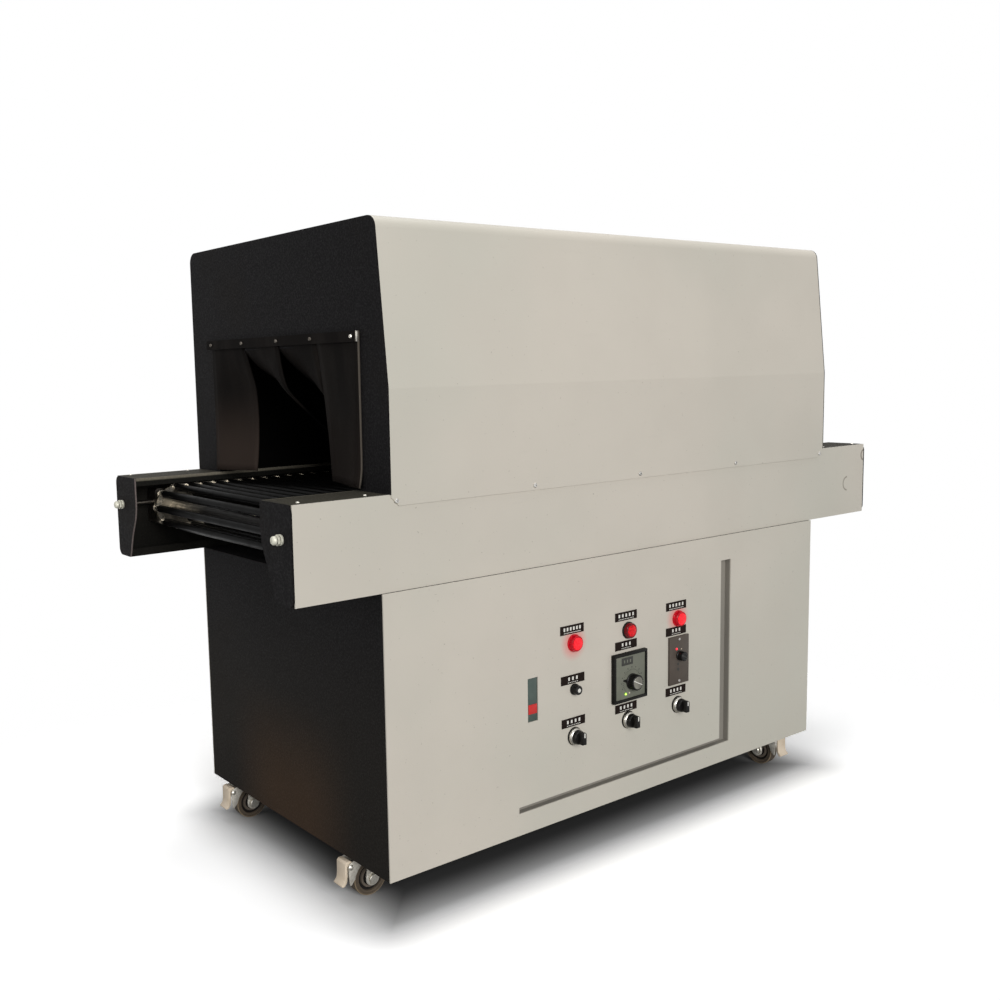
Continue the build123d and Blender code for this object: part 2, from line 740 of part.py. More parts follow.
# Breaker behind the window: its body bears on the back of the panel and its nose stands in the window
window_x, window_z = panel_point(window_column, window_row)
with BuildPart() as power_breaker:
    with BuildSketch(panel_plane.offset(-cabinet_sheet)):
        with Locations((window_x, window_z)):
            Rectangle(window_width + 2 * breaker_flange, window_height + 2 * breaker_flange)
    extrude(amount=-breaker_depth)
    with BuildSketch(panel_plane.offset(-cabinet_sheet)):
        with Locations((window_x, window_z)):
            Rectangle(window_width - 2 * cutout_clearance, window_height - 2 * cutout_clearance)
    extrude(amount=cabinet_sheet - breaker_set_in)
    with BuildSketch(panel_plane.offset(-breaker_set_in)):
        with Locations((window_x, window_z + breaker_lever_drop)):
            Rectangle(breaker_lever_width, breaker_lever_height)
    extrude(amount=breaker_set_in)
power_breaker.part.label = "power_breaker"
export_step(power_breaker.part, "parts/power_breaker.step")

# Casters: a fixed plate with its king pin, a swivelling fork with a brake pedal, and a wheel
plate_z = base_z - caster_plate_sheet
crown_z = fork_crown_height
with BuildPart() as caster_plates:
    for place in caster_places.values():
        with BuildSketch(Plane.XY.offset(plate_z)):
            with Locations((place.position.X, place.position.Y)):
                Rectangle(caster_plate_size, caster_plate_size)
        extrude(amount=caster_plate_sheet)
        with BuildSketch(Plane.XY.offset(plate_z)):
            with Locations((place.position.X, place.position.Y)):
                Circle(king_pin_radius)
        extrude(amount=crown_z - plate_z)
caster_plates.part.label = "caster_plates"
export_step(caster_plates.part, "parts/caster_plates.step")

# The fork stands on its swivel axis with the pedal towards +X, and is then set at each place
leg_inner = wheel_width / 2 + fork_clearance
leg_outer = leg_inner + fork_sheet
axle_end = leg_outer + axle_head_height
race_top_z = plate_z - knob_gap
pin_bore_radius = king_pin_radius + axle_clearance
pivot_x = caster_trail + pedal_pivot_reach
pedal_x = caster_trail + pedal_reach
crown_end_x = caster_trail + fork_heel
crown_mid_z = crown_z + fork_crown_sheet / 2
with BuildPart() as caster_fork:
    for leg_start in (-leg_outer, leg_inner):
        for arm_point, arm_radius, arm_roots in (
            ((caster_trail, wheel_radius), fork_foot_radius, (-fork_heel, crown_end_x)),
            ((pivot_x, pedal_pivot_height), pedal_pivot_radius, (0, caster_trail)),
        ):
            with BuildSketch(Plane.XZ.offset(-(leg_start + fork_sheet))):
                with Locations(arm_point):
                    Circle(arm_radius)
                with Locations(*[(root, crown_mid_z) for root in arm_roots]):
                    Rectangle(fork_crown_sheet, fork_crown_sheet)
                make_hull()
            extrude(amount=fork_sheet)
    with BuildSketch(Plane.XY.offset(crown_z)):
        with Locations(((crown_end_x - fork_heel) / 2, 0)):
            Rectangle(crown_end_x + fork_heel + fork_crown_sheet, 2 * leg_outer)
    extrude(amount=fork_crown_sheet)
    with BuildSketch(Plane.XY.offset(crown_z)):
        Circle(race_radius)
    extrude(amount=race_top_z - crown_z)
    with BuildSketch(Plane.XY.offset(crown_z)):
        Circle(pin_bore_radius)
    extrude(amount=race_top_z - crown_z, mode=Mode.SUBTRACT)
    for pin_radius, pin_start, pin_length in (
        (axle_radius, -leg_outer, 2 * leg_outer),
        (axle_head_radius, -axle_end, axle_head_height),
        (axle_head_radius, leg_outer, axle_head_height),
    ):
        with BuildSketch(Plane.XZ.offset(-pin_start)):
            with Locations((caster_trail, wheel_radius)):
                Circle(pin_radius)
        extrude(amount=-pin_length)
    with BuildSketch(Plane.XZ.offset(-leg_inner)):
        with Locations((pivot_x, pedal_pivot_height)):
            Circle(pedal_pivot_radius)
        with Locations((pedal_x, pedal_pivot_height)):
            Circle(pedal_thickness / 2)
        make_hull()
        with Locations((pedal_x, (pedal_pivot_height + pedal_foot_height) / 2)):
            Rectangle(pedal_thickness, pedal_pivot_height - pedal_foot_height)
    extrude(amount=2 * leg_inner)

with BuildPart() as caster_wheel:
    with BuildSketch(Plane(origin=(caster_trail, 0, wheel_radius), x_dir=(0, 1, 0), z_dir=(1, 0, 0))):
        with BuildLine():
            wheel_side = Polyline(
                (0, wheel_radius),
                (wheel_width / 2 - wheel_edge_chamfer, wheel_radius),
                (wheel_width / 2, wheel_radius - wheel_edge_chamfer),
                (wheel_width / 2, wheel_radius - wheel_rim),
                (wheel_width / 2 - wheel_web_recess, wheel_hub_radius),
                (wheel_width / 2, wheel_hub_radius),
                (wheel_width / 2, axle_radius + axle_clearance),
                (0, axle_radius + axle_clearance),
            )
            mirror(wheel_side, about=Plane.YZ)
        make_face()
    revolve(axis=Axis((caster_trail, 0, wheel_radius), (0, 1, 0)))

for place_name, place in caster_places.items():
    for piece_name, piece in (("fork", caster_fork.part), ("wheel", caster_wheel.part)):
        placed_piece = piece.moved(place)
        placed_piece.label = f"caster_{piece_name}_{place_name}"
        export_step(placed_piece, f"parts/caster_{piece_name}_{place_name}.step")
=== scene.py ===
# %% [markdown]
# A shrink tunnel for battery packs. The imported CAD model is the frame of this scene: a grey cabinet on four
# casters, a conveyor of rods on two chains, and a hood with curtained mouths. Each step below takes one piece or
# one finish of the real machine and says what it is, how it could be made and why this way was chosen.

# %% Load the frame
import json
from functools import partialmethod
from math import atan2, cos, pi, radians, sin, sqrt

import bmesh
import bpy
from mathutils import Matrix, Vector


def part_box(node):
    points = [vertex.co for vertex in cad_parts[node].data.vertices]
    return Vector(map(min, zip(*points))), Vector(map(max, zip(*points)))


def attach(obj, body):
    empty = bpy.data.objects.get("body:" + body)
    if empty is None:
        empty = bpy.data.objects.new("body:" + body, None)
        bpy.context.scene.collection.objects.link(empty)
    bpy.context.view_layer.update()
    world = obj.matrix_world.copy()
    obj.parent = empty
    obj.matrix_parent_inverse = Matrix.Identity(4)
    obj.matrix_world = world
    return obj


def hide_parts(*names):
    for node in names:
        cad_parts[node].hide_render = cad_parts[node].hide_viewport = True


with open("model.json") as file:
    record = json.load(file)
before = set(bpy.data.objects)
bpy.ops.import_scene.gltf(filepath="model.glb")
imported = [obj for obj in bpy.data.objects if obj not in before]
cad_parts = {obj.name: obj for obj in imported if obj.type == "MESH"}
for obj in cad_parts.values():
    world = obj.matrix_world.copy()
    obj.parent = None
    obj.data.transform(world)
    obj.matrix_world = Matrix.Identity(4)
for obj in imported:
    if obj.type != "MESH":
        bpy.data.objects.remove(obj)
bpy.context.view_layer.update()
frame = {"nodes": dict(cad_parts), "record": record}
mm = 0.001


def put_in_scene(name, data):
    thing = bpy.data.objects.new(name, data)
    bpy.context.scene.collection.objects.link(thing)
    return thing


# %% [markdown]
# The camera stands where the photographer stood, before the infeed end. Its place was worked out from the machine's
# straight edges. The picture was cropped off centre, which the lens shift gives without turning the view.

# %% Camera
camera_place = Vector((-1.35322, -1.47719, 0.79104))
# In radians: from +Y towards +X, downwards, and round the line of sight.
yaw, pitch, roll = 0.643559579, 0.121329042, -0.0222971025
focal_length_per_width = 1.08474726
film_width = 36.0
crop_shift = 0.08

camera_data = bpy.data.cameras.new("photo_camera")
camera_data.sensor_width = film_width
camera_data.lens = film_width * focal_length_per_width
camera_data.shift_x = crop_shift
camera_data.clip_start, camera_data.clip_end = 0.05, 100.0
camera = put_in_scene("photo_camera", camera_data)
aim = Matrix.Rotation(-yaw, 4, "Z") @ Matrix.Rotation(pi / 2 - pitch, 4, "X") @ Matrix.Rotation(roll, 4, "Z")
camera.matrix_world = Matrix.Translation(camera_place) @ aim
bpy.context.scene.camera = camera
print("lens", round(camera_data.lens, 2), "mm")

# %% [markdown]
# Node trees get long when every sum is placed by hand. One small class wraps an output of a node, so that Python's
# own signs add the Math nodes, and a second one adds any other node from its type, settings and inputs. Both serve
# materials and Geometry Nodes alike.


# %% Sums of nodes
class Value:
    """One output of a node, which + - * / ** < and > can work on."""

    def __init__(self, nodes, socket):
        self.nodes, self.socket = nodes, socket

    def maths(self, operation, *others):
        inputs = dict(enumerate((self, *others)))
        return self.nodes.node("ShaderNodeMath", inputs, {"operation": operation})

    __add__ = __radd__ = partialmethod(maths, "ADD")
    __mul__ = __rmul__ = partialmethod(maths, "MULTIPLY")
    __sub__ = partialmethod(maths, "SUBTRACT")
    __truediv__ = partialmethod(maths, "DIVIDE")
    __pow__ = partialmethod(maths, "POWER")
    __lt__ = partialmethod(maths, "LESS_THAN")
    __gt__ = partialmethod(maths, "GREATER_THAN")
    __abs__ = partialmethod(maths, "ABSOLUTE")

    def __rsub__(self, other):
        return self * -1 + other

    def also(self, name):
        """Another output of the same node."""
        return Value(self.nodes, self.socket.node.outputs[name])


class Nodes:
    """A node tree, with one way to add any node."""

    def __init__(self, tree):
        self.tree = tree

    def feed(self, socket, value):
        if isinstance(value, Value):
            self.tree.links.new(value.socket, socket)
        else:
            socket.default_value = value

    def node(self, kind, inputs={}, settings={}, output=0):
        made = self.tree.nodes.new(kind)
        for name, setting in settings.items():
            setattr(made, name, setting)
        for name, value in inputs.items():
            self.feed(made.inputs[name], value)
        return Value(self, made.outputs[output])

    def split(self, vector):
        x = self.node("ShaderNodeSeparateXYZ", {0: vector})
        return x, x.also("Y"), x.also("Z")


def shade(red, green, blue):
    """A colour as a screen shows it, from 0 to 255, as the linear numbers that Blender works with."""
    return (*[((c / 255 + 0.055) / 1.055) ** 2.4 if c > 10 else c / 255 / 12.92 for c in (red, green, blue)], 1.0)


print("light grey in linear light:", [round(c, 3) for c in shade(200, 194, 183)])


# %% [markdown]
# A finish is a material whose patterns come from Object coordinates, so they stay still on the machine and keep
# their real scale in metres. Noise gives the grain, and a Bump node turns the same grain into height.


# %% Finishes
class Finish(Nodes):
    """A material under way, with the patterns that the machine's finishes share."""

    def __init__(self, name, **constants):
        self.material = bpy.data.materials.new(name)
        self.material.use_nodes = True
        super().__init__(self.material.node_tree)
        self.shader = self.tree.nodes["Principled BSDF"]
        for title, value in constants.items():
            self.shader.inputs[title.replace("_", " ")].default_value = value
        self.place = self.node("ShaderNodeTexCoord", output="Object")
        self.x, self.y, self.z = self.split(self.place)

    def noise(self, scale, detail=2.0, stretch=None):
        place = self.place
        if stretch:
            place = self.node("ShaderNodeMapping", {"Vector": place, "Scale": stretch})
        return self.node("ShaderNodeTexNoise", {"Vector": place, "Scale": scale, "Detail": detail})

    def ramp(self, value, low, high, out_low=0.0, out_high=1.0):
        """Carries a value from one range to another, with soft ends."""
        inputs = {0: value, 1: low, 2: high, 3: out_low, 4: out_high}
        return self.node("ShaderNodeMapRange", inputs, {"interpolation_type": "SMOOTHSTEP"})

    def cloud(self, scale, detail, low, high, out_low=0.0, out_high=1.0, stretch=None):
        """Noise through a ramp: how much of a stain, a grain or a scuff lies on each point."""
        return self.ramp(self.noise(scale, detail, stretch), low, high, out_low, out_high)

    def mix(self, share, first, second):
        """Three numbers are a colour as a screen shows it, four are linear light."""
        first, second = (shade(*c) if isinstance(c, tuple) and len(c) == 3 else c for c in (first, second))
        return self.node("ShaderNodeMix", {0: share, 6: first, 7: second}, {"data_type": "RGBA"}, output=2)

    def wear(self, colour=None, roughness=None, height=None, depth=0.0005):
        """Feeds the shader: colour, roughness and the height of the surface in units of depth."""
        if colour is not None:
            self.feed(self.shader.inputs["Base Color"], colour)
        if roughness is not None:
            self.feed(self.shader.inputs["Roughness"], roughness)
        if height is not None:
            bump = self.node("ShaderNodeBump", {"Height": height, "Distance": depth})
            self.feed(self.shader.inputs["Normal"], bump)
        return self.material


# %% [markdown]
# Powder coat is sprayed as dust and baked. On the pale sheets it flows into a faint orange peel, and years of heat
# and hands let it drift between a warm and a cool grey.


# %% Painted sheet
def pale_coat(name, warm, cool, grime_and_dent_shade, painted_glows=(), dent_shades=()):
    """Painted on the front: the lamps' glow (x, z, inner and outer radius) and dent shade as arcs (x, z, radius, half
    width).
    """
    coat = Finish(name, Specular_IOR_Level=0.3)
    drift = coat.cloud(1.7, 3.0, 0.35, 0.65)
    cloud = coat.cloud(9.0, 4.0, 0.3, 0.75, 0.0, 0.35)
    specks = coat.cloud(260.0, 1.0, 0.76, 0.8)
    rub = coat.cloud(14.0, 5.0, 0.62, 0.8, 0.0, 0.3, stretch=(1.0, 1.0, 7.0))
    colour = coat.mix(drift, warm, cool)
    colour = coat.mix(cloud + rub, colour, tuple(0.9 * c for c in shade(*warm)[:3]) + (1.0,))
    colour = coat.mix(specks * 0.35, colour, grime_and_dent_shade)
    in_front = coat.y < 0
    # Painted light: the red glow that the lit lamps throw on the sheet round each lens.
    for x, z, inner, outer in painted_glows:
        reach = ((coat.x - x) ** 2 + (coat.z - z) ** 2) ** 0.5
        colour = coat.mix(coat.ramp(reach, inner, outer, 0.6, 0.0) * in_front, colour, (226, 120, 116))
    # Painted shade: dark arcs where small dents in the skirt lie in shade.
    for x, z, radius, half_width in dent_shades:
        reach = ((coat.x - x) ** 2 + (coat.z - z) ** 2) ** 0.5
        line = coat.ramp(abs(reach - radius), 0.4 * half_width, half_width, 0.75, 0.0)
        colour = coat.mix(line * in_front * (coat.x < x), colour, grime_and_dent_shade)
    peel = coat.noise(420.0)
    return coat.wear(colour, 0.42 + 0.2 * cloud + 0.12 * rub, peel, 0.00012)


lamps_low, lamps_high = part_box("indicator_lamps")
lens_radius = (lamps_high.z - lamps_low.z) / 2
lit_x, lit_z = (lamps_low.x + lens_radius, lamps_high.x - lens_radius), (lamps_low.z + lamps_high.z) / 2
# The lit lamps' glow, painted into the paint round each lens.
painted_lamp_glows = [(x, lit_z, 0.8 * lens_radius, 2.3 * lens_radius) for x in lit_x]
# Two small dents in the skirt, painted as dark arcs of shade.
skirt_dent_shades = [(0.603, 0.5455, 0.013, 0.002), (0.661, 0.5985, 0.010, 0.0028)]
light_grey_paint = pale_coat(
    "light_grey_paint", (206, 199, 187), (196, 193, 181), (116, 108, 94), painted_lamp_glows, skirt_dent_shades
)
groove_paint = pale_coat("groove_grey_paint", (150, 145, 136), (138, 134, 126), (90, 84, 76))
print("two pale coats, with a glow round", len(painted_lamp_glows), "lamps and", len(skirt_dent_shades), "dents in the skirt")

# %% [markdown]
# The black sheets and the channels have a rough, sandy coat. The black sheets are paler towards the bottom and the
# cabinet's side is browned low down, the channels are paler, olive grey on top, and painted highlights run along
# the folded lip and the end caps' cut edges. Each zone is worked out from where a point lies on the machine, so no
# picture has to be laid over the sheets.


# %% Black and worn coats
def sandy_coat(name, base, bright, dusty, zones=()):
    """zones: functions of the coat that give a share and the colour that the share turns to."""
    coat = Finish(name, Specular_IOR_Level=0.05)
    sand = coat.noise(1500.0, 1.5)
    grain = coat.ramp(sand, 0.52, 0.72) * 0.5 + coat.cloud(330.0, 3.0, 0.42, 0.66) * 0.6
    dust = coat.cloud(5.0, 5.0, 0.45, 0.8, 0.0, 0.6)
    scuffs = coat.cloud(40.0, 6.0, 0.66, 0.78, 0.0, 0.5, stretch=(1.0, 1.0, 5.0))
    colour = coat.mix(grain, base, bright)
    colour = coat.mix(dust + scuffs * 0.5, colour, dusty)
    for zone in zones:
        share, tint = zone(coat)
        colour = coat.mix(share * (0.66 + 0.34 * grain), colour, tint)
    return coat.wear(colour, 0.7 - 0.14 * grain + 0.1 * dust, sand, 0.00035)


# Paler towards the bottom of the black sheets.
def paler_low_side(coat):
    return coat.ramp(coat.z, 0.5, 0.15) * 0.8, (43, 40, 36)


def browned_foot(coat):
    from_middle = abs(coat.y + 0.01)
    share = coat.ramp(coat.z, 0.3, 0.1) * coat.ramp(from_middle, 0.21, 0.04) * (coat.x < 0)
    return share * 0.9, (74, 58, 45)


caps_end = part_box("channel_end_caps")[1].x


def cap_edge_highlight(coat):
    """The cut edge of an end cap, where it faces the rods, painted light as a highlight."""
    facing_y = coat.split(coat.node("ShaderNodeTexCoord", output="Normal"))[1]
    return (facing_y * coat.y < -0.1) * (abs(coat.x) > caps_end - 0.0025) * 0.85, (136, 124, 120)


channel_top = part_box("front_channel")[1].z
inner_edges = (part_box("front_channel")[1].y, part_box("rear_channel")[0].y)


# Paler, olive grey on the channels' top face.
def paler_flange_top(coat):
    return coat.ramp(coat.z, channel_top - 0.002, channel_top - 0.0006) * 0.9, (70, 67, 59)


# A painted highlight along the folded inner lip of each channel's top flange.
def lip_highlight(coat):
    to_edge = abs(coat.y - inner_edges[0]).maths("MINIMUM", abs(coat.y - inner_edges[1]))
    on_top = coat.ramp(coat.z, channel_top - 0.006, channel_top - 0.003)
    return coat.ramp(to_edge, 0.0032, 0.0012) * on_top, (128, 122, 108)


black_paint = sandy_coat(
    "black_texture_paint", (16, 15, 16), (34, 33, 34), (30, 27, 24),
    [paler_low_side, browned_foot, cap_edge_highlight],
)
dark_paint = sandy_coat(
    "dark_grey_paint", (20, 20, 18), (30, 29, 26), (34, 31, 27), [paler_flange_top, lip_highlight]
)
print("two sandy coats, channel top at", round(channel_top, 3), "m")

# %% [markdown]
# Bare metal shows by what it reflects, so its colour is nearly even and its roughness carries the story: zinc is
# streaky, an oiled chain is dark in its joints.


# %% Metals
def metal(name, bright, dull, roughness, streak=(1.0, 1.0, 1.0), scale=120.0, metallic=1.0):
    steel = Finish(name, Metallic=metallic)
    cloud = steel.cloud(scale, 4.0, 0.35, 0.7, stretch=streak)
    stain = steel.cloud(scale / 6, 5.0, 0.5, 0.75)
    colour = steel.mix(cloud * 0.6 + stain * 0.4, bright, dull)
    return steel.wear(colour, roughness + 0.16 * cloud + 0.12 * stain, steel.noise(scale * 5), 0.0001)


bright_steel = metal("bright_steel", (205, 200, 190), (150, 145, 135), 0.24, (1.0, 0.1, 1.0))
zinc_steel = metal("zinc_steel", (196, 194, 190), (140, 138, 134), 0.3)
caster_zinc = metal("caster_zinc", (206, 202, 192), (160, 154, 144), 0.46, scale=200.0, metallic=0.45)
bolt_zinc = metal("bolt_zinc", (226, 222, 212), (188, 184, 174), 0.34, scale=150.0)
nut_zinc = metal("nut_zinc", (216, 214, 198), (178, 176, 160), 0.44, scale=150.0, metallic=0.35)
oiled_steel = metal("oiled_steel", (120, 114, 106), (46, 42, 38), 0.3, scale=160.0)
chain_steel = metal("chain_steel", (178, 172, 160), (70, 64, 56), 0.26, scale=240.0)
# The tunnel's liner is near black: painted shade for the inside of the tunnel.
liner_steel = metal("liner_steel", (20, 19, 18), (10, 10, 9), 0.6, (0.2, 1.0, 1.0), 30.0)
dull_screw = metal("dull_screw", (112, 106, 98), (56, 52, 48), 0.46, scale=200.0)
knob_cap = metal("knob_cap", (140, 138, 128), (84, 82, 76), 0.36, (1.0, 1.0, 0.2), 60.0)
chrome = metal("chrome_ring", (200, 197, 189), (160, 156, 148), 0.2, scale=90.0)


def shaft_metal(name, bright, front_tone):
    """Bright near the rear chain and dark towards the front."""
    steel = Finish(name, Metallic=1.0)
    bright_rear = steel.ramp(steel.y, 0.11, 0.2) * steel.cloud(60.0, 3.0, 0.3, 0.6, 0.4, 1.0)
    return steel.wear(steel.mix(bright_rear, front_tone, bright), 0.5 - 0.2 * bright_rear, steel.noise(500.0), 0.0001)


shaft_steel = shaft_metal("shaft_steel", (150, 143, 130), (20, 18, 16))
print("eleven metals")

# %% [markdown]
# Moulded black plastic is never quite black and has a soft sheen. The curtain rubber is browned by the tunnel's heat,
# with painted shade where the infeed strips reach into the tunnel and a painted highlight down the front cut edge.
# A lit lens glows by emission.


# %% Plastics, rubber and lenses
def moulded(name, base, pale, roughness, grain=700.0, depth=0.00006, specular=0.4):
    plastic = Finish(name, Specular_IOR_Level=specular)
    cloud = plastic.cloud(60.0, 4.0, 0.4, 0.75)
    colour = plastic.mix(cloud * 0.5, base, pale)
    return plastic.wear(colour, roughness + 0.12 * cloud, plastic.noise(grain), depth)


def lens(name, deep, lit, strength):
    glow = Finish(name, Coat_Weight=0.12, Specular_IOR_Level=0.15, Emission_Strength=strength)
    veins = glow.cloud(330.0, 2.0, 0.3, 0.7)
    colour = glow.mix(veins, deep, lit)
    glow.feed(glow.shader.inputs["Emission Color"], colour)
    return glow.wear(colour, 0.16 + 0.1 * veins, glow.noise(900.0, 1.0), 0.00004)


def hung_rubber(name):
    rubber = Finish(name, Specular_IOR_Level=0.02)
    weave = rubber.noise(900.0)
    runs = rubber.cloud(22.0, 5.0, 0.38, 0.72, stretch=(1.0, 1.0, 0.22))
    heat = rubber.ramp(rubber.z, 0.77, 0.65, 0.0, 0.8) * rubber.ramp(rubber.y, -0.1, 0.14, 0.2, 1.0)
    chalk = rubber.cloud(420.0, 1.0, 0.74, 0.8, 0.0, 0.4)
    colour = rubber.mix(runs, (21, 19, 18), (29, 26, 24))
    colour = rubber.mix(heat, colour, (60, 51, 46))
    colour = rubber.mix(chalk, colour, (62, 55, 50))
    curtain_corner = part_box("infeed_curtain")[0]
    # Painted shade: the infeed strips turn near black where they bend into the tunnel.
    in_infeed_shade = rubber.x < 0
    colour = rubber.mix(rubber.ramp(rubber.x - curtain_corner.x, 0.032, 0.06) * in_infeed_shade, colour, (3, 3, 3))
    # A painted highlight down the front strip's cut edge.
    front_edge_highlight = rubber.ramp(rubber.y - curtain_corner.y, 0.0026, 0.0014)
    colour = rubber.mix(front_edge_highlight, colour, (84, 78, 71))
    return rubber.wear(colour, 0.7 - 0.1 * runs, weave + 0.6 * runs, 0.00025)


black_plastic = moulded("black_plastic", (22, 22, 20), (40, 39, 37), 0.42, specular=0.1)
black_gloss = moulded("black_gloss_plastic", (20, 19, 18), (36, 34, 32), 0.3, depth=0.00002, specular=0.2)
rod_sleeve = moulded("black_rod", (5, 5, 5), (12, 11, 10), 0.34, 260.0, 0.0001, 0.03)
label_black = moulded("label_black", (34, 27, 24), (42, 35, 32), 0.5, specular=0.03)
window_plastic = moulded("smoked_window", (66, 80, 74), (84, 96, 90), 0.3)
face_grey = moulded("dial_face_grey", (110, 112, 100), (128, 128, 116), 0.5, specular=0.25)
speed_plate = moulded("brown_grey_plate", (76, 68, 61), (92, 83, 75), 0.46, specular=0.25)
white_ink = moulded("white_ink", (226, 224, 216), (208, 206, 198), 0.55)
dark_ink = moulded("dark_ink", (46, 46, 42), (62, 61, 56), 0.55)
cream_nylon = moulded("cream_nylon", (222, 206, 184), (196, 178, 150), 0.48, depth=0.0001)
wheel_tread = moulded("wheel_rubber", (90, 79, 66), (62, 54, 46), 0.5, 500.0, 0.0002)
wheel_edge = moulded("wheel_edge", (152, 134, 108), (116, 102, 84), 0.5, 500.0, 0.0001)
wheel_ring = moulded("wheel_ring", (104, 94, 84), (78, 70, 62), 0.5, 500.0, 0.0002)
wheel_dark = moulded("wheel_web", (26, 22, 20), (40, 34, 30), 0.5, specular=0.2)
curtain_rubber = hung_rubber("curtain_rubber")
red_lens_block = moulded("red_rocker", (196, 36, 34), (210, 60, 54), 0.3)
lit_lens = lens("red_lens", (212, 12, 24), (250, 36, 46), 0.95)
lens_rim = lens("red_lens_rim", (128, 2, 14), (168, 6, 24), 0.6)
dim_lens = lens("red_lens_dim", (160, 2, 12), (224, 12, 26), 0.32)
dim_rim = lens("red_lens_rim_dim", (74, 0, 6), (120, 4, 12), 0.1)
red_spark = lens("red_spark", (255, 10, 36), (255, 70, 84), 1.6)
green_spark = lens("green_spark", (120, 235, 20), (215, 255, 110), 1.6)
print("plastics, rubber and lenses")

# %% [markdown]
# The sheet-metal nodes of the CAD model have the right shape already, so they only change their material slots.

# %% Finishes of the CAD nodes
node_finishes = {
    light_grey_paint: "front_panel rear_panel front_skirt rear_skirt hood_cover",
    groove_paint: "groove_tray",
    black_paint: "infeed_side_panel outfeed_side_panel channel_end_caps infeed_hood_end outfeed_hood_end "
    "cabinet_base cabinet_deck",
    dark_paint: "front_channel rear_channel",
    liner_steel: "tunnel_liner",
    shaft_steel: "infeed_shaft outfeed_shaft",
    oiled_steel: "takeup_blocks",
    zinc_steel: "caster_plates",
    curtain_rubber: "curtain_clamps",
}
for finish, names in node_finishes.items():
    for name in names.split():
        materials = frame["nodes"][name].data.materials
        for index in range(len(materials)):
            materials[index] = finish
print(sum(len(names.split()) for names in node_finishes.values()), "CAD nodes have their finish")

# %% [markdown]
# Small hard pieces are turned, cut from plate or milled. A Shape collects such solids in one mesh, each with its own
# finish: `turn` spins a profile round an axis, and `cut` gives an outline a thickness and eases its edges. The mesh
# holds its place, so the object sits at the origin like a CAD node.


# %% Shapes and pieces
def keep(name, mesh, replaced=(), body="machine"):
    """Turns a finished mesh into a piece that rides on a body."""
    piece = put_in_scene(name, mesh)
    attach(piece, body)
    if replaced:
        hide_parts(*replaced)
    mesh.calc_loop_triangles()
    print(f"{name}: {len(mesh.loop_triangles)} triangles on {body}")
    return piece


def ease_shading(form, mesh, sharp=35.0):
    """Fills a mesh with smooth faces that keep hard edges where they meet at more than this angle."""
    for face in form.faces:
        face.smooth = True
    for edge in form.edges:
        edge.smooth = len(edge.link_faces) == 2 and edge.calc_face_angle() < radians(sharp)
    form.to_mesh(mesh)
    form.free()


class Shape:
    """The solids of one piece."""

    def __init__(self):
        self.form = bmesh.new()
        self.finishes = []

    def add(self, solid, place, finish):
        if finish not in self.finishes:
            self.finishes.append(finish)
        bmesh.ops.recalc_face_normals(solid, faces=solid.faces)
        solid.transform(place)
        for face in solid.faces:
            face.material_index = self.finishes.index(finish)
        mesh = bpy.data.meshes.new("solid")
        solid.to_mesh(mesh)
        solid.free()
        self.form.from_mesh(mesh)
        bpy.data.meshes.remove(mesh)

    def turn(self, place, profile, finish, sides=32, closed=False):
        """Spins (radius, height) points, in millimetres, round the place's z axis. An open profile ends on it."""
        if not closed:
            profile = [(0, profile[0][1]), *profile, *[(0, height) for radius, height in profile[-1:] if radius]]
        solid = bmesh.new()
        rings = []
        for radius, height in profile:
            angles = [2 * pi * step / sides for step in range(sides if radius else 1)]
            rings.append([solid.verts.new((radius * cos(a) * mm, radius * sin(a) * mm, height * mm)) for a in angles])
        for low, high in zip(rings, rings[1:] + (rings[:1] if closed else [])):
            for step in range(sides):
                corners = [low[step % len(low)], low[(step + 1) % len(low)]]
                corners += [high[(step + 1) % len(high)], high[step % len(high)]]
                solid.faces.new(list(dict.fromkeys(corners)))
        self.add(solid, place, finish)

    def cut(self, place, outline, depth, finish, edge=0.0):
        """A plate with this outline in millimetres, from 0 to depth along the place's z axis."""
        solid = bmesh.new()
        low = [solid.verts.new((x * mm, y * mm, 0)) for x, y in outline]
        high = [solid.verts.new((x * mm, y * mm, depth * mm)) for x, y in outline]
        solid.faces.new(low)
        solid.faces.new(high)
        for step in range(len(outline)):
            after = (step + 1) % len(outline)
            solid.faces.new((low[step], low[after], high[after], high[step]))
        if edge:
            bmesh.ops.recalc_face_normals(solid, faces=solid.faces)
            sharp = [e for e in solid.edges if e.calc_face_angle() > radians(50)]
            bmesh.ops.bevel(solid, geom=sharp, offset=edge * mm, segments=2, profile=0.5, affect="EDGES")
        self.add(solid, place, finish)

    def block(self, place, width, height, depth, finish, edge=0.0):
        x, y = width / 2, height / 2
        self.cut(place, [(-x, -y), (x, -y), (x, y), (-x, y)], depth, finish, edge)

    def keep(self, name, slot, *replaced, body="machine"):
        mesh = bpy.data.meshes.new(name)
        ease_shading(self.form, mesh)
        for finish in self.finishes:
            mesh.materials.append(finish)
        keep(name, mesh, replaced, body)


print("shapes are ready")

# %% [markdown]
# Places on the machine come from the CAD nodes, never from the picture. The device columns and rows are measured from
# the front panel's lowest corner.

# %% Places
panel_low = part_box("front_panel")[0]


def spun(place, degrees, axis="Z"):
    return place @ Matrix.Rotation(radians(degrees), 4, axis)


def moved(place, x, y, z=0.0):
    """A place shifted along its own axes, in millimetres."""
    return place @ Matrix.Translation((x * mm, y * mm, z * mm))


def on_panel(column, row, out=0.0):
    """The place of a device: its z axis points out of the panel, its y axis up."""
    return spun(moved(Matrix.Translation(panel_low), column, -out, row), 90, "X")


def middle_of(node):
    low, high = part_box(node)
    return (low + high) / 2


print("panel corner at", [round(c, 4) for c in panel_low])

# %% [markdown]
# What repeats is made by Geometry Nodes. A Pattern is such a tree with its sizes as named inputs. It puts a copy on
# each point of a cloud and ends in real mesh with its material, which is kept as one piece.


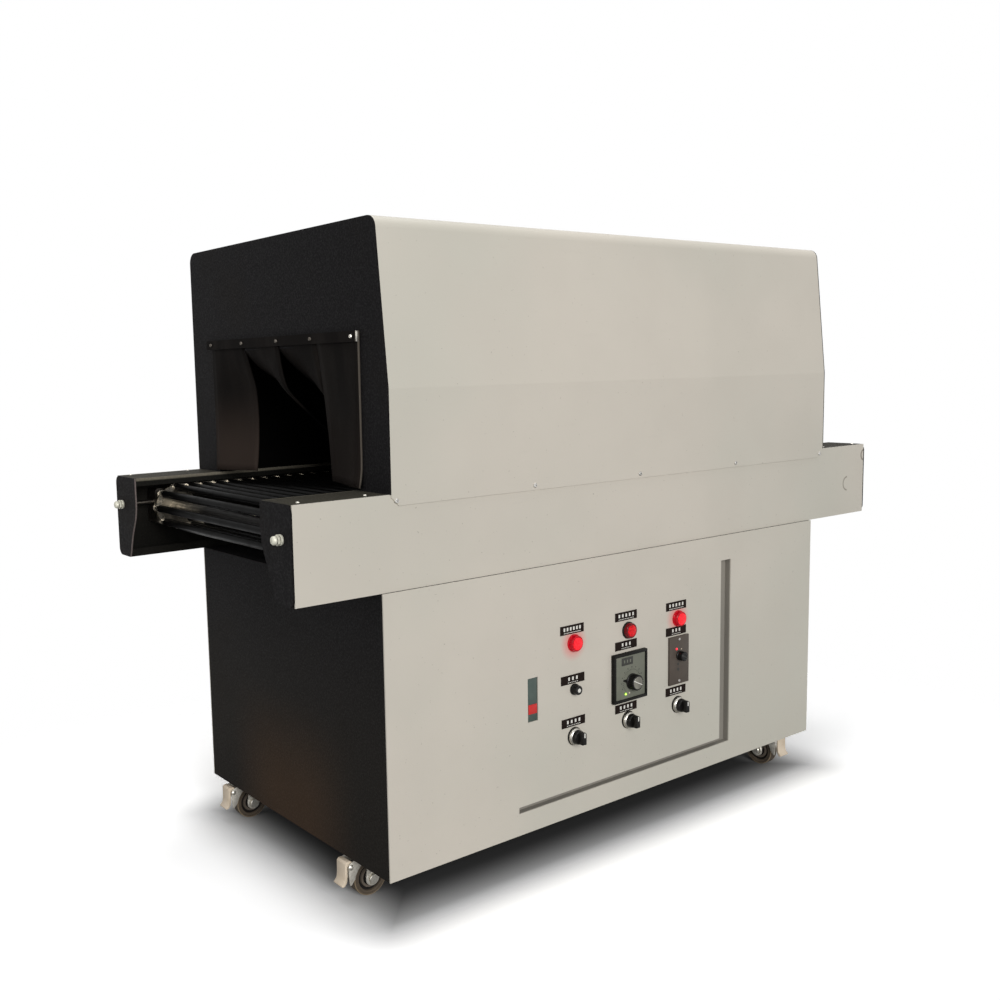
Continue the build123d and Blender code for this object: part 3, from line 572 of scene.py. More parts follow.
# %% Patterns
class Pattern(Nodes):
    """A Geometry Nodes tree that puts a copy on each point it is given."""

    def __init__(self, title, **sizes):
        super().__init__(bpy.data.node_groups.new(title, "GeometryNodeTree"))
        sockets = self.tree.interface
        sockets.new_socket("Points", in_out="INPUT", socket_type="NodeSocketGeometry")
        sockets.new_socket("Copies", in_out="OUTPUT", socket_type="NodeSocketGeometry")
        self.identifiers = {}
        for name, size in {"Tilt": 0.0, **sizes}.items():
            kind = "NodeSocketInt" if isinstance(size, int) else "NodeSocketFloat"
            socket = sockets.new_socket(name, in_out="INPUT", socket_type=kind)
            socket.default_value = size
            self.identifiers[name] = socket.identifier
        self.start = self.tree.nodes.new("NodeGroupInput")

    def size(self, name):
        return Value(self, self.start.outputs[name])

    def vector(self, x, y, z):
        return self.node("ShaderNodeCombineXYZ", {0: x, 1: y, 2: z})

    def copies(self, instance, finish):
        """One instance on each point: tilted about X, then turned about Y by the point's own angle."""
        turn = self.node("GeometryNodeInputNamedAttribute", {"Name": "turn"}, {"data_type": "FLOAT"})
        rotation = self.vector(self.size("Tilt"), turn, 0.0)
        inputs = {"Points": self.size("Points"), "Instance": instance, "Rotation": rotation}
        placed = self.node("GeometryNodeInstanceOnPoints", inputs)
        real = self.node("GeometryNodeRealizeInstances", {"Geometry": placed})
        finished = self.node("GeometryNodeSetMaterial", {"Geometry": real, "Material": finish})
        end = self.tree.nodes.new("NodeGroupOutput")
        self.feed(end.inputs["Copies"], finished)
        return self


def grow(name, pattern, points, slot, turns=None, body="machine", replaced=(), **sizes):
    """Runs a pattern on a cloud of points, in metres, and keeps the mesh that comes out."""
    cloud = bpy.data.meshes.new(name + "_points")
    cloud.from_pydata([tuple(point) for point in points], [], [])
    turn_of = cloud.attributes.new("turn", "FLOAT", "POINT")
    turn_of.data.foreach_set("value", turns or [0.0] * len(points))
    seed = put_in_scene(name + "_seed", cloud)
    modifier = seed.modifiers.new("pattern", "NODES")
    modifier.node_group = pattern.tree
    for title, size in sizes.items():
        modifier[pattern.identifiers[title]] = size
    mesh = bpy.data.meshes.new_from_object(seed.evaluated_get(bpy.context.evaluated_depsgraph_get()))
    bpy.data.objects.remove(seed)
    form = bmesh.new()
    form.from_mesh(mesh)
    ease_shading(form, mesh)
    keep(name, mesh, replaced, body)


crosswise = radians(90)


def round_bars(finish):
    """A pattern of bars: rods, rollers, pins and collars are all this, tilted to lie across the conveyor."""
    bars = Pattern("Round bars", Tilt=crosswise, Radius=0.006, Length=0.45, Sides=16)
    sizes = {"Vertices": bars.size("Sides"), "Radius": bars.size("Radius"), "Depth": bars.size("Length")}
    bar = bars.node("GeometryNodeMeshCylinder", sizes, {"fill_type": "NGON"})
    return bars.copies(bar, finish)


print("patterns are ready")

# %% [markdown]
# Two chains with a roller at each pitch run over eight-toothed sprockets, and a rod crosses at each pin. The pins are
# worked out as the CAD source does: along the top run, round one sprocket, back along the bottom run and round the
# other.

# %% Pins of the chain
chain_pitch = 25.4 * mm
teeth = 8
pitch_radius = chain_pitch / 2 / sin(pi / teeth)
shaft_middles = [middle_of("infeed_shaft"), middle_of("outfeed_shaft")]
shaft_z = shaft_middles[0].z
run_pitches = round((shaft_middles[1].x - shaft_middles[0].x) / chain_pitch)
pins = []
for side, shaft in ((1, shaft_middles[0]), (-1, shaft_middles[1])):
    pins += [(shaft.x + side * step * chain_pitch, shaft_z + side * pitch_radius) for step in range(run_pitches)]
    far_shaft = shaft_middles[1] if side > 0 else shaft_middles[0]
    for step in range(teeth // 2):
        angle = side * radians(90) - step * 2 * pi / teeth
        pins.append((far_shaft.x + pitch_radius * cos(angle), shaft_z + pitch_radius * sin(angle)))
chain_rows = [middle_of("front_chain").y, middle_of("rear_chain").y]
print(len(pins), "pins, pitch radius", round(pitch_radius / mm, 2), "mm")

# %% [markdown]
# A rod is a black sleeve with a bright collar at each end, where the chain's long pins hold it.

# %% Rods with their bright end collars
rod_low, rod_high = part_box("conveyor_rods")
rod_length = rod_high.y - rod_low.y
rod_middle = middle_of("conveyor_rods").y
collar_radius, collar_length = 5.2 * mm, 9 * mm
sleeves = [(x, rod_middle, z) for x, z in pins]
grow(
    "rod_sleeves", round_bars(rod_sleeve), sleeves, "black_rod", replaced=["conveyor_rods"],
    Length=rod_length - 2 * collar_length,
)
collars = []
for y in (rod_low.y + collar_length / 2, rod_high.y - collar_length / 2):
    collars += [(x, y, z) for x, z in pins]
grow(
    "rod_collars", round_bars(bright_steel), collars, "bright_steel",
    Radius=collar_radius, Length=collar_length, Sides=12,
)

# %% [markdown]
# A roller chain's side plate is a figure of eight: two discs round the pins, drawn in at the waist. The tree bends a
# circle into that outline with sums on its points, fills it and gives it a thickness. Inner and outer links take
# turns, so each runs on every second gap between pins.


# %% Chain plates
def chain_plates(finish):
    plates = Pattern("Chain plates", Tilt=crosswise, Pitch=chain_pitch, Height=0.0115, Waist=0.32, Thickness=0.0012)
    ring = plates.node("GeometryNodeCurvePrimitiveCircle", {"Resolution": 18, "Radius": 1.0})
    x, y, z = plates.split(plates.node("GeometryNodeInputPosition"))
    half = plates.size("Height") / 2
    side = (x > 0) * 2 - 1
    waist = 1 - plates.size("Waist") * (1 - abs(x)) ** 1.5
    bent = plates.vector(x * half + side * plates.size("Pitch") / 2, y * half * waist, 0.0)
    outline = plates.node("GeometryNodeSetPosition", {"Geometry": ring, "Position": bent})
    face = plates.node("GeometryNodeFillCurve", {0: outline})
    depth = {"Mesh": face, "Offset Scale": plates.size("Thickness"), "Individual": False}
    wall = plates.node("GeometryNodeExtrudeMesh", depth)
    back = plates.node("GeometryNodeFlipFaces", {0: face})
    both = plates.node("GeometryNodeJoinGeometry")
    for part in (wall, back):
        plates.feed(both.socket.node.inputs[0], part)
    solid = plates.node("GeometryNodeMergeByDistance", {"Geometry": both, "Distance": 0.00001})
    return plates.copies(solid, finish)


plate_thickness = 1.2 * mm
inner_plate = 3.2 * mm
outer_plate = 4.5 * mm
plate_heights = (11.6 * mm, 10.6 * mm)
links, link_turns = [[], []], [[], []]
for index, (x, z) in enumerate(pins):
    next_x, next_z = pins[(index + 1) % len(pins)]
    for row in chain_rows:
        for side in (-1, 1):
            reach = (inner_plate, outer_plate)[index % 2]
            start = row + side * reach + (plate_thickness if side > 0 else 0)
            links[index % 2].append(((x + next_x) / 2, start, (z + next_z) / 2))
            link_turns[index % 2].append(-atan2(next_z - z, next_x - x))
for title, points, turns, height in zip(("inner", "outer"), links, link_turns, plate_heights):
    grow(
        f"chain_{title}_plates", chain_plates(chain_steel), points, "oiled_steel", turns,
        replaced=["front_chain", "rear_chain"] if title == "inner" else (),
        Thickness=plate_thickness, Height=height,
    )

# %% [markdown]
# A roller turns on each pin, between the inner plates. The pins' ends stand a little out of the outer plates.

# %% Rollers and pins
joints = [(x, row, z) for row in chain_rows for x, z in pins]
for title, radius, length, sides in (("rollers", 4.0, 2 * inner_plate, 12), ("pins", 2.0, 12.4 * mm, 8)):
    bars = round_bars(bright_steel)
    grow(f"chain_{title}", bars, joints, "bright_steel", Radius=radius * mm, Length=length, Sides=sides)

# %% [markdown]
# Tension bolts stand out of the four end caps: a washer, a hexagon nut and a domed cap nut, zinc plated, with dark
# rings of painted shade in the gaps. The operator turns them to tighten the chains.

# %% Tension bolts
bolt_low, bolt_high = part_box("tension_bolts")
cap_low, cap_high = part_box("channel_end_caps")
bolt_radius = 8.5 * mm
bolt_z = middle_of("tension_bolts").z
shaded_gaps = (3.3, 7.9)
rod_reach = (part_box("takeup_blocks")[0].x - cap_low.x) / mm
bolts = Shape()
for y in (bolt_low.y + bolt_radius, bolt_high.y - bolt_radius):
    for cap_x, way in ((cap_low.x, -1), (cap_high.x, 1)):
        place = spun(Matrix.Translation((cap_x, y, bolt_z)), 90 * way, "Y")
        bolts.turn(place, [(7.0, 0), (7.4, 0.6), (7.4, 2.6), (6.8, 3.2), (5.2, 3.4)], nut_zinc, 28)
        nut = [(5.2, 3.4), (5.2, 4.2), (7.0, 4.3), (7.6, 4.8), (7.6, 7.2), (6.8, 7.8), (5.0, 8.0)]
        bolts.turn(place, nut, nut_zinc, 6)
        dome = [(5.0, 8.0), (5.2, 8.8), (6.2, 9.0), (6.2, 11.0), (5.8, 12.6), (4.6, 13.9), (2.6, 14.7), (0, 15.0)]
        bolts.turn(place, dome, nut_zinc, 24)
        # Painted shade: dark rings in the gaps between the nuts.
        for gap in shaded_gaps:
            bolts.turn(place, [(5.7, gap), (5.7, gap + 0.9)], oiled_steel, 20)
        bolts.turn(place, [(3.4, -rod_reach), (3.4, 0)], oiled_steel, 12)
bolts.keep("cap_nuts", "zinc_steel", "tension_bolts")

# %% [markdown]
# One tree makes the screws that hold the hood, the clamp bars and the skirts: a disc whose top is drawn in twice,
# first to round the head and then to sink the driver's socket.


# %% Screws
def screws(finish):
    heads = Pattern("Pan head screws", Radius=0.004, Height=0.0022, Socket=0.45, Sides=14)
    radius, height = heads.size("Radius"), heads.size("Height")
    sizes = {"Vertices": heads.size("Sides"), "Radius": radius, "Depth": height}
    disc = heads.node("GeometryNodeMeshCylinder", sizes, {"fill_type": "NGON"})
    lifted, top = disc, disc.also("Top")
    for offset, scale in ((height * 0.45, 0.78), (0.0, heads.size("Socket")), (height * -0.7, 0.8)):
        inputs = {"Mesh": lifted, "Selection": top, "Offset Scale": offset, "Individual": False}
        grown = heads.node("GeometryNodeExtrudeMesh", inputs)
        top = grown.also("Top")
        inputs = {"Geometry": grown, "Selection": top, "Scale": scale}
        lifted = heads.node("GeometryNodeScaleElements", inputs)
    return heads.copies(lifted, finish)


hood_low, hood_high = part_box("hood_cover")
bed_top = cap_high.z
screw_columns = [-0.495, -0.2376, -0.0036, 0.2464, 0.503]
screw_z = bed_top - 9 * mm
for side, y, tilt in (("front", hood_low.y, crosswise), ("rear", hood_high.y, -crosswise)):
    seats = [(x, y, screw_z) for x in screw_columns]
    grow(f"hood_screws_{side}", screws(zinc_steel), seats, "zinc_steel", Tilt=tilt, Radius=3.6 * mm)
flange_rows = (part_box("front_channel")[0].y + 15 * mm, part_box("rear_channel")[1].y - 9 * mm)
flange_columns = (-0.640, -0.534, 0.544, 0.6455)
flange_seats = [(x, y, bed_top) for y in flange_rows for x in flange_columns]
grow("flange_screws", screws(bolt_zinc), flange_seats, "zinc_steel", Radius=2.8 * mm, Height=1.6 * mm)

# %% [markdown]
# Four strips of rubber at each mouth keep the heat in, gripped by a screwed bar, and the packs push through them.
# Simulation would be slow and give other folds, so each strip is swept down two edge lines of fixed length, like
# bending a paper strip, and drawn together where it twists, so the rubber never stretches. Solidify gives it its
# thickness.


# %% Curtain strips
strip_length = 220.0
strip_width = 111.5
strip_thickness = 2.6
strip_rows, strip_columns = 22, 9


def swept(bends, share):
    """How far an edge has gone in and down, in millimetres, at a share of its length.

    bends: (share of the length, degrees from upright), from 0 degrees at the bar."""
    inward = drop = 0.0
    steps = 40
    for step in range(round(share * steps)):
        at = (step + 0.5) / steps
        angle = bends[-1][1]
        for (start, first), (end, last) in zip([(0, 0), *bends], bends):
            if start <= at < end:
                blend = (at - start) / (end - start)
                angle = first + (last - first) * blend * blend * (3 - 2 * blend)
                break
        inward += sin(radians(angle)) * strip_length / steps
        drop += cos(radians(angle)) * strip_length / steps
    return inward, drop


def hang_strip(name, node, number, front_bends, rear_bends):
    """One strip of a curtain, pushed towards +X, the way the conveyor runs."""
    low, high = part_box(node)
    middle = low.y + (number + 0.5) * (high.y - low.y) / 4
    seat = middle_of(node).x
    verts, faces = [], []
    for row in range(strip_rows + 1):
        share = row / strip_rows
        front, rear = swept(front_bends, share), swept(rear_bends, share)
        apart = strip_width**2 - (front[0] - rear[0]) ** 2 - (front[1] - rear[1]) ** 2
        span = sqrt(max(apart, (0.5 * strip_width) ** 2))
        for column in range(strip_columns + 1):
            across = column / strip_columns
            blend = across * across * (3 - 2 * across)
            inward = front[0] + (rear[0] - front[0]) * blend
            drop = front[1] + (rear[1] - front[1]) * across
            verts.append((seat + inward * mm, middle + (across - 0.5) * span * mm, high.z - drop * mm))
            if row and column:
                corner = len(verts) - 1
                above = corner - strip_columns - 1
                faces.append((above - 1, above, corner, corner - 1))
    mesh = bpy.data.meshes.new(name)
    mesh.from_pydata(verts, [], faces)
    mesh.materials.append(curtain_rubber)
    for polygon in mesh.polygons:
        polygon.use_smooth = True
    strip = keep(name, mesh, [node] if number == 0 else [])
    wall = strip.modifiers.new("thickness", "SOLIDIFY")
    wall.thickness, wall.offset = strip_thickness * mm, 0.0


straight = [(0.1, 0), (0.5, 4), (1, 0)]
infeed_bends = [
    ([(0.8, 0), (1, -12)], [(0.08, 9), (0.6, 5), (0.85, 3), (1, 3)]),
    ([(0.1, 8), (0.3, 14), (0.5, 45), (1, 48)], [(0.05, 12), (0.14, 42), (0.3, 50), (1, 46)]),
    ([(0.1, 6), (0.25, 13), (0.5, 48), (1, 52)], [(0.05, 12), (0.14, 40), (0.3, 55), (1, 50)]),
    ([(0.07, 14), (0.3, 17), (0.45, 4), (0.7, -3), (1, -8)], [(0.6, 0), (1, -3)]),
]
outfeed_bends = [
    (straight, [(0.1, 0), (0.5, 8), (1, 2)]),
    ([(0.1, 0), (0.4, 10), (1, 5)], [(0.1, 0), (0.4, 14), (1, 8)]),
    ([(0.1, 0), (0.4, 13), (1, 6)], [(0.1, 0), (0.4, 7), (1, 3)]),
    ([(0.1, 0), (0.5, 6), (1, 2)], straight),
]
for end_name, bends in (("infeed", infeed_bends), ("outfeed", outfeed_bends)):
    for number, (front_bends, rear_bends) in enumerate(bends):
        hang_strip(f"{end_name}_strip_{number + 1}", f"{end_name}_curtain", number, front_bends, rear_bends)

# %% [markdown]
# Five old screws hold each flat bar, dulled by the heat. Its front end was cut after it was blackened, so the bare
# section catches the light as one bright line.

# %% Clamp bars
clamp_low, clamp_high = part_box("curtain_clamps")
clamp_z = middle_of("curtain_clamps").z
clamp_rows = [78, 187, 287, 400, 510]
seats = {"infeed": (clamp_low.x, -crosswise), "outfeed": (clamp_high.x, crosswise)}
for end_name, (bar_x, turn) in seats.items():
    rows = [panel_low.y + y * mm for y in clamp_rows]
    for title, finish, places in (("front_screw", bolt_zinc, rows[:1]), ("screws", dull_screw, rows[1:])):
        heads = [(bar_x, y, clamp_z) for y in places]
        grow(
            f"clamp_{title}_{end_name}", screws(finish), heads, "zinc_steel", [turn] * len(heads), Radius=2.8 * mm
        )
bar_ends = Shape()
bar_sheet = 4.0
for bar_x, way in ((clamp_low.x, 1), (clamp_high.x, -1)):
    middle = (bar_x + way * bar_sheet / 2 * mm, clamp_low.y, clamp_z)
    cut_end = spun(Matrix.Translation(middle), 90, "X")
    bar_ends.block(cut_end, bar_sheet - 0.2, (clamp_high.z - clamp_low.z) / mm - 0.4, 0.4, bolt_zinc, 0.1)
bar_ends.keep("clamp_bar_ends", "zinc_steel")

# %% [markdown]
# The control devices are turned parts: a lens is a stepped dome in a twenty-sided rim, a selector is a chromed ring
# with a lever knob, a dial knob is a fluted cone with a cap. Turning a profile gives them true circles.

# %% Indicator lamps
device_columns = {"left": 364.0, "middle": 489.0, "right": 614.0}
lamp_row, selector_row = 285.0, 133.0
for title, column in device_columns.items():
    lamp = Shape()
    place = on_panel(column, lamp_row)
    lit = title != "middle"
    rim = lens_rim if lit else dim_rim
    collar = [(11, -30), (11, 0), (14, 0), (14, 2.2), (13.2, 3.0)]
    lamp.turn(place, collar, rim if lit else black_plastic, 40)
    lamp.turn(place, [(12.6, 3.0), (12.6, 8.2), (11.6, 9.2)], rim, 20)
    dome = [(9.6, 9.0), (9.2, 10.0), (7.5, 10.5), (3.5, 10.9), (0, 11.0)]
    lamp.turn(place, dome, lit_lens if lit else dim_lens, 40)
    lamp.keep(f"lamp_{title}", "red_lens", *(["indicator_lamps"] if title == "left" else []))

# %% [markdown]
# A selector switch is a chromed ring round a plastic lever. The rings stay with the cabinet as one piece, and each
# lever is a piece of its own, because it rides on the body that its joint turns.

# %% Selector switches
bezels = Shape()
for column in device_columns.values():
    place = on_panel(column, selector_row)
    bezels.turn(place, [(11, -35), (11, 0), (14.7, 0), (14.7, 2.0), (14.2, 2.6)], black_plastic, 40)
    ring = [(13.9, 2.6), (13.9, 4.0), (13.2, 5.6), (12.2, 6.6), (11.7, 7.0), (10.4, 6.6), (0, 6.4)]
    bezels.turn(place, ring, chrome, 48)
bezels.keep("selector_rings", "chrome_ring", "selector_bezels")

lever_height = 10.4
for title, column in device_columns.items():
    knob = Shape()
    place = on_panel(column, selector_row, 7.3)
    knob.turn(place, [(11.4, 0), (11.5, 1.0), (11.0, 5.8), (10.2, 7.0)], black_gloss, 40)
    lever = moved(place, 0, 0, 6.0)
    outline = [(-4.5, -9.4), (4.5, -9.4), (4.5, 9.0), (2.0, 10.6), (-2.0, 10.6), (-4.5, 9.0)]
    knob.cut(lever, outline, lever_height, black_gloss, 1.1)
    knob.block(moved(lever, 0, 6.2, lever_height - 0.1), 2.4, 7.4, 0.25, white_ink)
    node = f"selector_knob_{title}"
    knob.keep(f"selector_lever_{title}", "black_gloss_plastic", node, body=f"selector_{title}")

# %% [markdown]
# The fuse cap is turned with eighteen sides, which read as the grip of the real one. Its top carries a pale disc,
# a painted highlight.

# %% Fuse holder
fuse = Shape()
place = on_panel(device_columns["left"], 210.0)
fuse.turn(place, [(6, -35), (6, 0), (9, 0), (9, 3.4), (8.4, 4.2)], black_plastic, 32)
fuse.turn(place, [(8.0, 4.2), (7.5, 11.2), (6.8, 12.0)], black_gloss, 18)
# A pale disc on the cap's top: a painted highlight.
fuse.turn(place, [(3.4, 11.8), (3.2, 12.3), (0, 12.4)], white_ink, 20)
fuse.keep("fuse_cap", "black_plastic", "fuse_holder")

# %% [markdown]
# Knob flutes, dial marks and the bars on the label plates are small blocks, so one tree sets them on points, each
# turned by its own angle.


# %% Flutes, marks and label plates
def lay_blocks(name, finish, points, slot, width, height, depth, turns=None, body="machine"):
    """Blocks set on points, each turned by its own angle, with their sizes in millimetres."""
    blocks = Pattern("Blocks on points", Width=0.001, Height=0.003, Depth=0.001)
    size = blocks.vector(blocks.size("Width"), blocks.size("Depth"), blocks.size("Height"))
    pattern = blocks.copies(blocks.node("GeometryNodeMeshCube", {"Size": size}), finish)
    grow(name, pattern, points, slot, turns, body, Width=width * mm, Height=height * mm, Depth=depth * mm)


def lay_ring(name, finish, slot, middle, radius, first, last, count, width, height, depth, body="machine"):
    """Blocks on a circle of the panel, each along the radius. middle: column, row and how far out."""
    column, row, out = middle
    angles = [radians(first + (last - first) * step / (count - 1)) for step in range(count)]
    points = [on_panel(column + radius * sin(a), row + radius * cos(a), out).translation for a in angles]
    lay_blocks(name, finish, points, slot, width, height, depth, angles, body)


print("blocks are ready")

# %% [markdown]
# The temperature controller is a moulded case with a raised frame round a grey face, with a dotted arc, a black
# pointer and a small window. The real face's words are left out, and plain bars stand for digits.

# %% Temperature controller
dial_x, dial_z = 489.0, 208.0
knob_x, knob_z = dial_x + 3.0, dial_z - 9.0
case = Shape()
place = on_panel(dial_x, dial_z)
case.block(moved(place, 0, 0, -60), 68, 68, 60, black_plastic)
case.block(place, 80, 82, 5.2, black_plastic, 1.0)
rim = on_panel(dial_x, dial_z, 5.0)
for width, height, x, z in ((80, 5, 0, 38.5), (80, 5, 0, -38.5), (5, 72.4, -37.5, 0), (5, 72.4, 37.5, 0)):
    case.block(moved(rim, x, z), width - 0.6, height - 0.2, 2.8, black_plastic, 0.9)
case.block(rim, 70, 72, 0.9, face_grey, 0.3)
face = on_panel(dial_x, dial_z, 5.9)
case.block(moved(face, -8, 27), 27, 13, 0.5, dark_ink, 0.2)
for x in (-15, -8, -1):
    case.block(moved(face, x, 27, 0.5), 2.4, 4.8, 0.12, face_grey)
pointer = spun(moved(face, knob_x - dial_x, knob_z - dial_z), 168)
case.cut(pointer, [(13.0, -3.2), (21.5, -0.6), (21.5, 0.6), (13.0, 3.2)], 0.9, black_plastic)
case.keep("temperature_case", "black_plastic", "temperature_controller")

for title, radius, count, width, height in (("marks", 24.6, 13, 1.3, 2.0), ("arc", 20.4, 31, 0.8, 1.2)):
    middle = (knob_x, knob_z, 6.1)
    lay_ring(
        f"temperature_{title}", dark_ink, "black_plastic", middle, radius, -135, 135, count, width, height, 0.3
    )
sparks = Shape()
sparks.turn(on_panel(477, 180, 5.8), [(1.9, 0), (1.9, 0.8), (1.2, 1.7), (0, 2.0)], green_spark, 16)
sparks.turn(on_panel(486, 180.5, 5.8), [(1.3, 0), (1.3, 0.4), (0, 0.8)], cream_nylon, 12)
sparks.turn(on_panel(496, 183.5, 5.8), [(1.6, 0), (1.6, 0.3), (0, 0.5)], dark_ink, 12)
sparks.keep("temperature_lights", "black_plastic")

# %% [markdown]
# Both dial knobs are a skirt, a fluted cone and a cap, turned from one profile with its radius and height as sizes.
# Each rides on its own body, and so do its flutes.

# %% Dial knobs
for title, column, row, out, radius, height, body, cap_finish in (
    ("temperature", knob_x, knob_z, 6.3, 13.5, 14.0, "temperature_dial", knob_cap),
    ("speed", 614.0, 220.5, 4.3, 8.5, 12.0, "speed_dial", black_gloss),
):
    knob = Shape()
    place = on_panel(column, row, out)
    skirt = [(radius, 0), (radius, 1.6), (radius - 1.0, 2.4), (radius - 1.4, height - 1.2)]
    knob.turn(place, skirt + [(radius - 2.4, height - 0.4)], black_gloss, 40)
    top = moved(place, 0, 0, height - 0.5)
    knob.turn(top, [(radius - 3.0, 0), (radius - 3.4, 0.4)], cap_finish, 32)
    line = moved(spun(top, -26), 0, 0, 0.35)
    knob.block(line, 2 * radius - 5.5, 1.3, 0.15, white_ink if cap_finish == knob_cap else dark_ink)
    knob.keep(f"{title}_dial_knob", "black_gloss_plastic", f"{title}_knob", body=body)
    middle = (column, row, out + height / 2 + 0.8)
    lay_ring(
        f"{title}_flutes", black_gloss, "black_gloss_plastic", middle, radius - 1.1, 0, 345, 24,
        1.2, 1.4, height - 3.4, body,
    )

# %% [markdown]
# The speed controller is a plain plate held by two screws. A red light, a small screw and two dark sockets are turned
# discs set on it.

# %% Speed controller
speed_x, speed_z = 614.0, 212.5
plate = Shape()
plate.block(on_panel(speed_x, speed_z, -40), 42, 62, 40, black_plastic)
plate.block(on_panel(speed_x, speed_z), 50, 84, 4.0, speed_plate, 0.6)
plate.turn(on_panel(606.5, 233, 3.8), [(1.8, 0), (1.8, 0.8), (1.1, 1.7), (0, 2.0)], red_spark, 16)
for column, row, size, finish in ((619, 231, 1.1, cream_nylon), (611, 206, 2.4, dark_ink), (611, 196.5, 2.8, dark_ink)):
    plate.turn(on_panel(column, row, 3.9), [(size, 0), (size, 0.35), (0, 0.5)], finish, 16)
plate.keep("speed_case", "brown_grey_plate", "speed_controller")
seats = [on_panel(speed_x, z, 4.0).translation for z in (249, 176)]
grow("speed_screws", screws(zinc_steel), seats, "zinc_steel", Tilt=crosswise, Radius=2.4 * mm, Height=1.2 * mm)

# %% [markdown]
# The main breaker looks out through a window in the panel: a smoked strip with its red rocker low down, a little
# behind the sheet.

# %% Breaker in its window
window = Shape()
window.block(on_panel(275.5, 210.5, -57), 33, 81, 55, black_plastic)
window.block(on_panel(275.5, 210.5, -2), 20, 68, 0.9, window_plastic, 0.2)
window.block(on_panel(275.5, 195.5, -1.3), 18, 15, 1.2, red_lens_block, 0.4)
window.keep("breaker_nose", "black_plastic", "power_breaker")

# %% [markdown]
# Nine dark label plates name the devices. The real words are left out: a row of large white bars and a row of small
# ones keep the look of lettering without copying any.

# %% Label plates with plain bars
label_places = [
    (360, 307.6, 6), (484, 309.7, 5), (609, 308, 5), (484, 261, 3), (609, 264, 3),
    (361, 227, 3), (362, 157, 4), (484, 155, 4), (609, 158.6, 4),
]
widest_pitch, longest_row = 8.6, 41.0
plates, large_bars, small_bars = [], [], []
for column, row, count in label_places:
    plates.append(on_panel(column, row, 0.4).translation)
    large_pitch = min(widest_pitch, longest_row / count)
    small_pitch = large_pitch / 2.2
    for bars, pitch, rise, total in ((large_bars, large_pitch, 1.3, count), (small_bars, small_pitch, -4.6, 2 * count)):
        for step in range(total):
            bars.append(on_panel(column + (step - (total - 1) / 2) * pitch, row + rise, 0.85).translation)
for title, finish, points, width, height, depth in (
    ("label_plates", label_black, plates, 51.5, 14.3, 0.8),
    ("label_large_bars", white_ink, large_bars, 3.6, 5.4, 0.2),
    ("label_small_bars", white_ink, small_bars, 2.4, 1.1, 0.2),
):
    lay_blocks(title, finish, points, "black_plastic", width, height, depth)

# %% [markdown]
# A caster is a pressed zinc fork with a brake pedal of cream nylon, and a hard wheel with rings turned into its side.
# It is drawn once on its swivel axis, with the pedal towards +X, and set in place by the two joints that the record
# gives: the swivel and the wheel's axle.

# %% Casters
joint_places = {joint["name"]: Vector(joint["pos_m"]) for joint in frame["record"]["behaviour"]["joints"]}
caster_places = {}
for name in ("infeed_front", "infeed_rear", "outfeed_front", "outfeed_rear"):
    swivel, axle = joint_places[f"swivel_{name}"], joint_places[f"roll_{name}"]
    heading = atan2(axle.y - swivel.y, axle.x - swivel.x)
    caster_places[name] = Matrix.Translation((swivel.x, swivel.y, 0)) @ Matrix.Rotation(heading, 4, "Z")
    trail, axle_height = (axle - swivel).xy.length / mm, axle.z / mm
print("trail", round(trail, 1), "mm, axle", round(axle_height, 1), "mm above the floor")

# %% [markdown]
# A wheel is four closed profiles spun round the axle: the dark web, a ring, the tyre and a pale ring on the tyre's
# edge, a painted highlight. Each is drawn for one side and mirrored.

# %% Wheels
tyre = [(21.0, 8.0), (21.8, 9.4), (23.6, 9.6), (24.2, 8.8), (25.0, 8.8), (25.6, 9.8), (27.4, 9.8)]
tyre += [(28.4, 8.6), (29.0, 6.4)]
ring = [(12.4, 7.0), (13.0, 8.6), (16.2, 8.8), (17.0, 7.2)]
web = [(4.2, 9.6), (9.2, 9.6), (9.8, 7.2), (12.6, 6.4), (17.4, 5.8), (21.0, 6.6), (27.0, 7.0)]
# A painted highlight: a pale ring where the tyre's edge catches the light.
tyre_highlight = [(27.5, 8.9), (28.0, 9.6), (28.6, 9.3), (28.9, 8.0), (28.5, 7.8)]
for name, place in caster_places.items():
    wheel, axle = Shape(), spun(moved(place, trail, 0, axle_height), -90, "X")
    for side, finish in ((web, wheel_dark), (ring, wheel_ring), (tyre, wheel_tread), (tyre_highlight, wheel_edge)):
        profile = side + [(radius, -out) for radius, out in reversed(side)]
        wheel.turn(axle, profile, finish, 56, closed=True)
    wheel.keep(f"wheel_{name}", "wheel_rubber", f"caster_wheel_{name}", body=f"wheel_{name}")

# %% [markdown]
# A fork is two pressed cheeks under a crown. Each cheek reaches round the wheel to the pedal's pivot, with its inner
# edge an arc just off the tyre, and the pedal is one curved bar of nylon between the cheeks.

# %% Forks
cheek = [(-9.6, -7.2), (-12.0, 0.0), (-13.0, 8.0), (-20.0, 26.0), (-36.5, 41.0), (-39.0, 43.0), (-39.0, 46.0)]
cheek += [(17.0, 46.0), (17.0, 41.0), (40.0, 32.5), (41.6, 28.0), (41.4, 14.0), (39.8, -1.0), (37.4, -1.0)]
cheek += [(31.6 * cos(radians(turn)), 31.6 * sin(radians(turn))) for turn in range(12, 61, 6)]
cheek += [(12.2, 25.0), (9.8, 20.5), (9.0, 14.0), (11.2, 4.0), (10.0, -6.6), (5.6, -10.6), (0.0, -12.0), (-5.6, -10.6)]
pedal = [(32.0, 33.0), (38.0, 36.4), (43.5, 36.2), (46.4, 33.0), (46.8, 14.0), (48.0, 6.5), (53.2, 0.6), (52.2, -1.6)]
pedal += [(47.6, -1.2), (43.6, 4.5), (42.4, 14.0), (42.2, 28.0), (40.0, 31.2)]
cheek_inner, cheek_sheet = 12.0, 2.5
cheek_outer = cheek_inner + cheek_sheet
race_bottom, race_top = 75.0, 85.0
